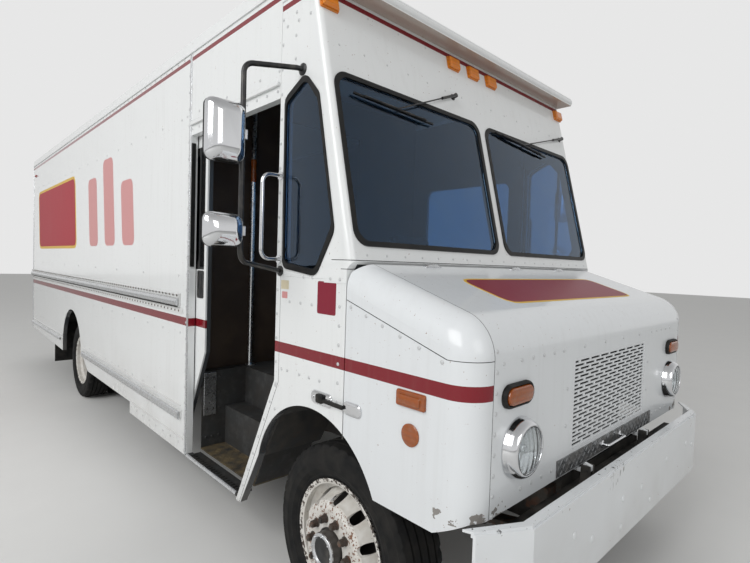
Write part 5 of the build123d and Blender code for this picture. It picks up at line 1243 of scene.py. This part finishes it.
def build_wipers():
    """Wipers and their arms, hood latches and their keepers, tread strip and handle."""
    arms, blades, plates, straps = Piece(), Piece(), Piece(), Piece()
    outward = Vector((0, -math.cos(LEAN), math.sin(LEAN)))
    for x, z, x0, z0, x1, z1 in WIPERS:
        pivot = facing(face_spot(x, z, 0), outward)
        arms.turned([(17, 0.3), (17, 3), (11, 5), (10, 16), (12, 17), (12, 27), (8, 30)], pivot,
                    steps=24)
        middle = ((x0 + x1) / 2, (z0 + z1) / 2)
        elbow = (x + (middle[0] - x) * 0.28, z + (middle[1] - z) * 0.28)
        arms.tube([face_spot(x, z, 24), face_spot(*elbow, 27)], 7.5, 8)
        arms.tube([face_spot(*elbow, 27), face_spot(*middle, 20)], 3.6, 8)
        run = face_spot(x1, z1, 8) - face_spot(x0, z0, 8)
        side = run.normalized().cross(outward)
        start, end = face_spot(x0, z0, 3), face_spot(x1, z1, 3)
        for low, high, half in ((0.0, 7.0, 2.2), (7.0, 11.0, 4.5)):
            rows = [[p + outward * h / 1000 + side * w / 1000
                     for h, w in ((low, -half), (low, half), (high, half), (high, -half))]
                    for p in (start, end)]
            blades.grid(rows)
        for share in (0.12, 0.34, 0.66, 0.88):
            point = start.lerp(end, share) + outward * 0.012
            arms.turned([(6, -2), (6, 3), (3, 5)], facing(point, outward), steps=8)
        for a, b in ((0.12, 0.5), (0.34, 0.5), (0.5, 0.66), (0.5, 0.88)):
            arms.tube([start.lerp(end, a) + outward * 0.014, start.lerp(end, b) + outward * 0.018],
                      4.2, 6)
    for side in (-1, 1):
        plates.rounded([(136, 56, 24, 0.3), (136, 56, 24, 5), (130, 50, 22, 9),
                        (112, 34, 14, 10.5)], on_side(side, 75, LATCH_Z))
        for y in (24, 126):
            plates.turned([(8, 0), (7, 3), (3, 4.6)], on_side(side, y, LATCH_Z, 10), 12)
        straps.rounded([(150, 15, 5, 11), (150, 15, 5, 19), (144, 9, 4, 21)],
                       on_side(side, 0, LATCH_Z - 1))
        straps.rounded([(44, 36, 8, 9), (44, 36, 8, 21), (34, 26, 6, 25)],
                       on_side(side, 72, LATCH_Z + 3))
    strip, bright = Piece(), Piece()
    corners = [(-528, -32.5), (535, -32.5), (535, 32.5), (-528, 32.5)]
    strip.stepped([(corners, 0.3), (corners, 4)], on_nose(0, 790.5))
    made = strip.make("tread_strip", "nose", "aluminium tread plate", "tread_plate", bevel=0.6)
    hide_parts("nose_fittings")
    for x in (-100, 100):
        bright.turned([(17, 4), (17, 7), (12, 10)], on_nose(x, 790), 20)
    bright.tube(rounded_path([(-100, NOSE_Y - 5, 790), (-100, NOSE_Y - 32, 790),
                              (100, NOSE_Y - 32, 790), (100, NOSE_Y - 5, 790)], [14, 14]), 6, 14)
    for side in (-1, 1):
        bright.rounded([(104, 52, 24, 0.3), (104, 52, 24, 5), (96, 44, 20, 9), (74, 28, 12, 10)],
                       on_side(side, -116, LATCH_Z))
        for y in (-154, -78):
            bright.turned([(5, 0), (4.5, 2), (2, 3)], on_side(side, y, LATCH_Z, 7), 12)
    bright.make("nose_handle_and_keepers", "nose", "chromium plate", "chrome")
    made = arms.make("wiper_arms", "chassis", "black powder coat", "black_plastic")
    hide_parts("cab_fittings")
    blades.make("wiper_blades", "chassis", "window seal rubber", "black_rubber")
    plates.make("hood_latch_plates", "chassis", "chromium plate", "chrome")
    straps.make("hood_latch_straps", "chassis", "moulded black rubber", "black_rubber")


# Driver's place

SEAT = (570.0, 760.0)      # middle x and reference y of the seat
GAUGES = [(432, 1440, 30), (520, 1448, 46), (632, 1448, 46), (716, 1440, 30)]  # x, z, radius
POLE = (-640.0, 1478.0)    # x and y of the grab pole behind the bulkhead


def cushion(w, d, thick, place, name):
    """Crowned cushion of width w and depth d with a seam round its edge."""
    pad = Piece()
    pad.rounded([(w - 40, d - 40, 40, 0), (w - 8, d - 8, 48, 8), (w, d, 52, thick * 0.35),
                 (w - 4, d - 4, 52, thick * 0.68), (w - 30, d - 30, 48, thick * 0.86),
                 (w - 90, d - 90, 46, thick * 0.95), (w - 190, d - 190, 40, thick * 0.93),
                 (w - 215, d - 215, 36, thick * 0.97), (w - 300, d - 300, 20, thick)], place, 8)
    made = pad.make(name, "chassis", "black seat vinyl", "seat_vinyl", angle=60)
    seam = Piece()
    loop = [place @ Vector((x / 1000, y / 1000, thick * 0.69 / 1000))
            for x, y in rounded_rect(w + 1, d + 1, 52, 8)]
    seam.tube(loop + loop[:1], 4, 8)
    seam.make(name + "_piping", "chassis", "grained black plastic", "black_plastic")
    return made


def build_seat():
    """Two pads on a pedestal."""
    x, y = SEAT
    base = cushion(416, 500, 122, Matrix.Translation(at(x, y + 35, 1096)), "seat_cushion")
    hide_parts("driver_seat")
    lean = facing(at(x, y + 396, 1492), (0, -1, 0.155))
    cushion(412, 560, 100, lean, "seat_back")
    pedestal = Piece()
    pedestal.block((x - 190, y - 190, 1080), (x + 190, y + 255, 1096))
    pedestal.block((x - 100, y - 60, 842), (x + 100, y + 240, 1080))
    pedestal.block((x - 130, y - 90, 841), (x + 130, y + 270, 850))
    pedestal.make("seat_pedestal", "chassis", "black powder coat", "black_plastic", bevel=4)


def build_cab_details():
    """Gauges, grab pole, kick plates and door pulls."""
    dials, rims, pole, band, kick, bolts = (Piece() for _ in range(6))
    for x, z, radius in GAUGES:
        place = facing(*landing("dashboard", "rear", (x, 0, z), 0.6))
        rims.turned([(radius, -0.3), (radius, 5), (radius - 4, 7), (radius - 5, 3)], place, 32)
        dials.turned([(radius - 5, 3), (radius - 6, 3.4)], place, 32)
        hand = [(-2, 0), (2, 0), (0.6, radius * 0.7), (-0.6, radius * 0.7)]
        rims.stepped([(hand, 3.6), (hand, 4.4)], place)
    rims.make("gauge_rims", "chassis", "chromium plate", "chrome")
    dials.make("gauge_faces", "chassis", "grained black plastic", "black_plastic")
    pole.tube([at(*POLE, 842), at(*POLE, 2700)], 16, 20)
    foot = Matrix.Translation(at(POLE[0], POLE[1] - 18, 840))
    pole.turned([(38, 0.3), (38, 5), (20, 9)], foot, 24)
    pole.make("grab_pole", "chassis", "extruded aluminium", "aluminium")
    band.tube([at(*POLE, 2080), at(*POLE, 2230)], 18, 20)
    band.make("grab_pole_band", "chassis", "amber lens painted shaded", "amber_lens")
    for side in (-1, 1):
        kick.block((side * 905, 1418, 560), (side * 985, 1425.5, 832))
        for x in (880, 925, 965):
            for z in (420, 600, 700, 800):
                spot = at(side * x, 1417.6 if z > 560 and x > 904 else 1425.6, z)
                bolts.turned([(8, 0), (7.5, 2), (4, 4.5)], facing(spot, (0, -1, 0)), 12)
    kick.make("kick_plates", "chassis", "extruded aluminium", "aluminium", bevel=1.5)
    bolts.make("kick_plate_bolts", "chassis", "trodden step plate", "aluminium")
    for side, word, y in ((-1, "right", 1374), (1, "left", 494)):
        recess = Piece()
        place = facing(at(side * 1040, y, 1395), (side, 0, 0))
        recess.rounded([(88, 168, 12, 0.3), (88, 168, 12, 3.5), (66, 146, 8, 3.5),
                        (66, 146, 8, -6)], place, closed=True)
        recess.rounded([(66, 146, 8, 0.3), (66, 146, 8, 1.2)], place)
        recess.rounded([(20, 124, 8, 0.9), (20, 124, 8, 3.2)], place)
        recess.make(f"door_pull_{word}", f"cab_door_{word}", "grained black plastic",
                    "black_plastic")


# Rear doors, bumpers and plates

ROD_X = 70.0
HANDLE_Z = 1180.0
BUMPER_BOLTS = ((-175, 616), (-633, 629), (-476, 560), (-185, 500), (52, 596), (406, 631),
                (744, 630), (-860, 600), (860, 600), (175, 500))  # x and z at the front


def build_rear():
    """Rods and window seals of the rear doors, plate, bumper bolts and lugs, rear lamps' trim."""
    for side, word in ((1, "left"), (-1, "right")):
        rods, rubber = Piece(), Piece()
        x = side * ROD_X
        rods.tube([at(x, BODY_REAR + 8, 830), at(x, BODY_REAR + 8, 2520)], 8, 12)
        for z in (860, HANDLE_Z, 1700, 2200, 2490):
            rods.block((x - 22, BODY_REAR - 4, z - 14), (x + 22, BODY_REAR + 17, z + 14))
        rods.tube([at(x, BODY_REAR + 20, HANDLE_Z), at(side * 120, BODY_REAR + 26, HANDLE_Z),
                   at(side * 290, BODY_REAR + 26, HANDLE_Z - 10)], 8, 12)
        rods.make(f"rear_door_rods_{word}", f"load_door_{word}", "extruded aluminium",
                  "aluminium", bevel=1.5)
        rubber.rounded([(466, 556, 50, 0.2), (460, 550, 48, 7), (424, 514, 32, 7),
                        (414, 504, 30, 0.2)], on_rear(side * 385, 1820, -4), closed=True)
        rubber.make(f"rear_window_seal_{word}", f"load_door_{word}", "window seal rubber",
                    "black_rubber")
    plate = Piece()
    plate.rounded([(305, 152, 12, 0), (305, 152, 12, 2)], on_rear(640, 700, 0.5))
    plate.make("blank_plate", "chassis", "clear acrylic lens", "white_paint", bevel=0.5)
    heads, pads, bezels, clearance = Piece(), Piece(), Piece(), Piece()
    bolts = [("front", (x, 0, z)) for x, z in BUMPER_BOLTS]
    bolts += [("rear", (x, BODY_REAR, 500)) for x in (-700, -400, -100, 100, 400, 700)]
    for look, spot in bolts:
        heads.turned([(15, -0.3), (14.5, 2), (10, 4.2), (5, 5)],
                     facing(*landing("bumpers", look, spot)), 16)
    heads.make("bumper_bolts", "chassis", "chipped white bumper paint", "bumper_paint")
    lug_field(pads, "bumpers", "top", (-944, 6985, 0), (32, 0, 0), (0, 34, 0), (60, 2), (0, 1, 0))
    pads.make("rear_step_lugs", "chassis", "aluminium tread plate", "tread_plate")
    for side in (-1, 1):
        for z in (1180, 1290):
            bezels.turned([(38, 0.2), (38, 5), (33, 8), (32.3, 4), (32.3, 0.2)],
                          on_rear(side * 1012, z), 32, closed=True)
        clearance.rounded([(66, 30, 8, 0.2), (66, 30, 8, 12), (56, 20, 6, 17)],
                          on_side(side, 6761, 2638))
    bezels.make("tail_lamp_bezels", "chassis", "window seal rubber", "black_rubber")
    clearance.make("side_clearance_lamps", "chassis", "red acrylic lens", "red_lens")


def build_clips():
    """Clips along the rear edge of the hood, and frames of the roof lamps."""
    clips, frames = Piece(), Piece()
    for x in (-640, 60, 560):
        place = facing(*landing("nose_shell", "top", (x, -112, 1500)), (0, 1, 0))
        clips.rounded([(104, 24, 6, -0.2), (104, 24, 6, 4), (92, 14, 4, 7), (60, 8, 3, 11)], place)
    clips.make("cowl_clips", "nose", "extruded aluminium", "aluminium")
    for x in (-1030, -180, 0, 180, 1030):
        place = facing(face_spot(x, 2647, 0), (0, -math.cos(LEAN), math.sin(LEAN)))
        frames.rounded([(96, 70, 6, 0.2), (94, 68, 6, 9), (85, 59, 4, 9), (85, 59, 4, 0.2)], place,
                       closed=True)
    frames.make("roof_lamp_frames", "chassis", "amber lens painted sunlit", "amber_lens")


# Stage

CAMERA_PLACE = (-2286.0, -1482.0, 1550.0)
CAMERA_YAW = math.radians(43.5)
CAMERA_PITCH = math.radians(-2.04)
CAMERA_ROLL = math.radians(1.8)
FLOOR_REACH = 40.0         # half the floor's width, in metres
BACKDROP = 0.8             # strength of the sky where it is seen or mirrored
LAMPS = (                  # name, place, aim, size in metres, share of the key's power
    ("key", (-10500, -500, 7500), (0, 2500, 1200), 7.0, 1.0),
    ("fill", (-2500, -9500, 5200), (0, 0, 1200), 5.0, 0.2),
)


def build_camera():
    """Camera where the photo was taken from."""
    settings = bpy.context.scene.van_stage
    data = bpy.data.cameras.new("photo camera")
    data.lens = settings.lens
    data.sensor_width = 36.0
    camera = bpy.data.objects.new("photo camera", data)
    bpy.context.scene.collection.objects.link(camera)
    level = math.cos(CAMERA_PITCH)
    forward = Vector((math.sin(CAMERA_YAW) * level, math.cos(CAMERA_YAW) * level,
                      math.sin(CAMERA_PITCH)))
    right = Vector((math.cos(CAMERA_YAW), -math.sin(CAMERA_YAW), 0))
    up = right.cross(forward)
    lean, rise = math.sin(CAMERA_ROLL), math.cos(CAMERA_ROLL)
    turn = Matrix((right * rise + up * lean, up * rise - right * lean, -forward)).transposed()
    camera.matrix_world = Matrix.Translation(at(*CAMERA_PLACE)) @ turn.to_4x4()
    bpy.context.scene.camera = camera


def build_lights():
    """Even sky, brighter where it is seen than where it lights, and two soft lamps."""
    settings = bpy.context.scene.van_stage
    world = bpy.data.worlds.new("studio")
    bpy.context.scene.world = world
    world.use_nodes = True
    tree = world.node_tree
    shade = tree.nodes["Background"]
    path = put(tree, "LightPath")
    seen = together(tree, "MAXIMUM", path.outputs["Is Camera Ray"],
                    path.outputs["Is Glossy Ray"], path.outputs["Is Transmission Ray"])
    strength = put(tree, "MapRange", {"Value": seen, "To Min": settings.sky,
                                      "To Max": BACKDROP}).outputs[0]
    # Mirrored in gloss, the sky darkens towards its top.
    height = put(tree, "SeparateXYZ", {0: put(tree, "TexCoord").outputs["Generated"]}).outputs[2]
    ramp = put(tree, "MapRange", {"Value": height, "From Min": 0.0, "From Max": 0.7,
                                  "To Min": 1.0, "To Max": 0.55}).outputs[0]
    softened = together(tree, "MULTIPLY", path.outputs["Is Glossy Ray"], height)
    drop = put(tree, "Mix", {0: softened, 6: (1, 1, 1, 1), 7: ramp}, data_type="RGBA").outputs[2]
    tree.links.new(drop, shade.inputs["Color"])
    tree.links.new(strength, shade.inputs["Strength"])
    for name, place, aim, size, share in LAMPS:
        lamp = bpy.data.lights.new(name, "AREA")
        lamp.energy = settings.key * share
        lamp.size = size
        holder = bpy.data.objects.new(name, lamp)
        bpy.context.scene.collection.objects.link(holder)
        holder.matrix_world = facing(at(*place), at(*place) - at(*aim))


def build_floor():
    """Wide pale floor under the van."""
    mesh = bpy.data.meshes.new("floor")
    mesh.from_pydata([(x * FLOOR_REACH, y * FLOOR_REACH, 0)
                      for x, y in ((-1, -1), (1, -1), (1, 1), (-1, 1))], [], [(0, 1, 2, 3)])
    floor = bpy.data.objects.new("floor", mesh)
    bpy.context.scene.collection.objects.link(floor)
    matt = Finish("pale studio floor", 0.9)
    grain = matt.blotches(300, 0.3, 0.8)
    matt.surface(bpy.context.scene.van_stage.floor, [(grain, (0.5, 0.5, 0.5, 1), 0.06)])
    floor.data.materials.append(bpy.data.materials["pale studio floor"])


# Operators


class VAN_OT_finishes(bpy.types.Operator):
    """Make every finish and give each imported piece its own"""
    bl_idname = "van.finishes"
    bl_label = "Finishes"

    def execute(self, context):
        make_enamels()
        make_metals()
        wheel_enamel("white enamel on front wheels", 0.0, 1000, 1083.6)
        wheel_enamel("white enamel on rear wheels", REAR_AXLE, 700, 774.6)
        make_glass_and_lenses()
        make_rubbers()
        make_plastics()
        for finish, nodes in NODE_FINISHES.items():
            for node in nodes:
                dress(node, finish)
        return {"FINISHED"}


class VAN_OT_rivets(bpy.types.Operator):
    """Set rows of rivets along the seams of the sheets"""
    bl_idname = "van.rivets"
    bl_label = "Rivets"

    def execute(self, context):
        build_rivets()
        return {"FINISHED"}


class VAN_OT_tyres(bpy.types.Operator):
    """Make the tyres with their treads"""
    bl_idname = "van.tyres"
    bl_label = "Tyres"

    def execute(self, context):
        build_tyres()
        return {"FINISHED"}


class VAN_OT_wheel_trim(bpy.types.Operator):
    """Add studs, hub caps and valves to the wheels"""
    bl_idname = "van.wheel_trim"
    bl_label = "Wheel trim"

    def execute(self, context):
        build_wheel_trim()
        return {"FINISHED"}


class VAN_OT_lamps(bpy.types.Operator):
    """Make the headlamps, turn lamps, side markers and reflectors"""
    bl_idname = "van.lamps"
    bl_label = "Lamps"

    def execute(self, context):
        build_headlamps()
        build_nose_lamps()
        return {"FINISHED"}


class VAN_OT_mirrors(bpy.types.Operator):
    """Make the mirrors on their tube frames"""
    bl_idname = "van.mirrors"
    bl_label = "Mirrors"

    def execute(self, context):
        build_mirrors()
        return {"FINISHED"}


class VAN_OT_panels(bpy.types.Operator):
    """Lay the plain coloured panels, bands and blank labels on the skin"""
    bl_idname = "van.panels"
    bl_label = "Panels"

    def execute(self, context):
        build_panels()
        return {"FINISHED"}


class VAN_OT_trim(bpy.types.Operator):
    """Add strips, drip rails, rail screws, tread lugs and clips"""
    bl_idname = "van.trim"
    bl_label = "Body trim"

    def execute(self, context):
        build_trim()
        build_lugs()
        build_clips()
        return {"FINISHED"}


class VAN_OT_wipers(bpy.types.Operator):
    """Make the wipers and the hood latches"""
    bl_idname = "van.wipers"
    bl_label = "Wipers and latches"

    def execute(self, context):
        build_wipers()
        return {"FINISHED"}


class VAN_OT_cab(bpy.types.Operator):
    """Make the driver's seat, the gauges, the grab pole and the door pulls"""
    bl_idname = "van.cab"
    bl_label = "Driver's place"

    def execute(self, context):
        build_seat()
        build_cab_details()
        return {"FINISHED"}


class VAN_OT_rear(bpy.types.Operator):
    """Add rods, seals and bezels to the rear, and bolts to both bumpers"""
    bl_idname = "van.rear"
    bl_label = "Rear and bumpers"

    def execute(self, context):
        build_rear()
        return {"FINISHED"}


class VAN_OT_stage(bpy.types.Operator):
    """Set up the floor, lights and camera"""
    bl_idname = "van.stage"
    bl_label = "Stage"

    def execute(self, context):
        build_floor()
        build_lights()
        build_camera()
        return {"FINISHED"}


OPERATORS = (VAN_OT_finishes, VAN_OT_rivets, VAN_OT_tyres, VAN_OT_wheel_trim, VAN_OT_lamps,
             VAN_OT_mirrors, VAN_OT_panels, VAN_OT_trim, VAN_OT_wipers, VAN_OT_cab, VAN_OT_rear,
             VAN_OT_stage)


class VAN_PT_panel(bpy.types.Panel):
    """Lists the steps and settings in the sidebar of the 3D view"""
    bl_idname = "VAN_PT_panel"
    bl_label = "Step van"
    bl_space_type = "VIEW_3D"
    bl_region_type = "UI"
    bl_category = "Step van"

    def draw(self, context):
        for operator in OPERATORS:
            self.layout.operator(operator.bl_idname)
        for group in (context.scene.van_paint, context.scene.van_fittings,
                      context.scene.van_stage):
            for name in group.__annotations__:
                self.layout.prop(group, name)


GROUPS = {"van_paint": VanPaint, "van_fittings": VanFittings, "van_stage": VanStage}


def register():
    for cls in (*GROUPS.values(), *OPERATORS, VAN_PT_panel):
        bpy.utils.register_class(cls)
    for name, group in GROUPS.items():
        setattr(bpy.types.Scene, name, bpy.props.PointerProperty(type=group))


def unregister():
    for name in GROUPS:
        delattr(bpy.types.Scene, name)
    for cls in (VAN_PT_panel, *reversed(OPERATORS), *reversed(GROUPS.values())):
        bpy.utils.unregister_class(cls)


def main():
    register()
    bpy.context.scene.view_settings.view_transform = "Standard"
    for operator in OPERATORS:
        category, name = operator.bl_idname.split(".")
        getattr(getattr(bpy.ops, category), name)()


if __name__ == "__main__":
    main()
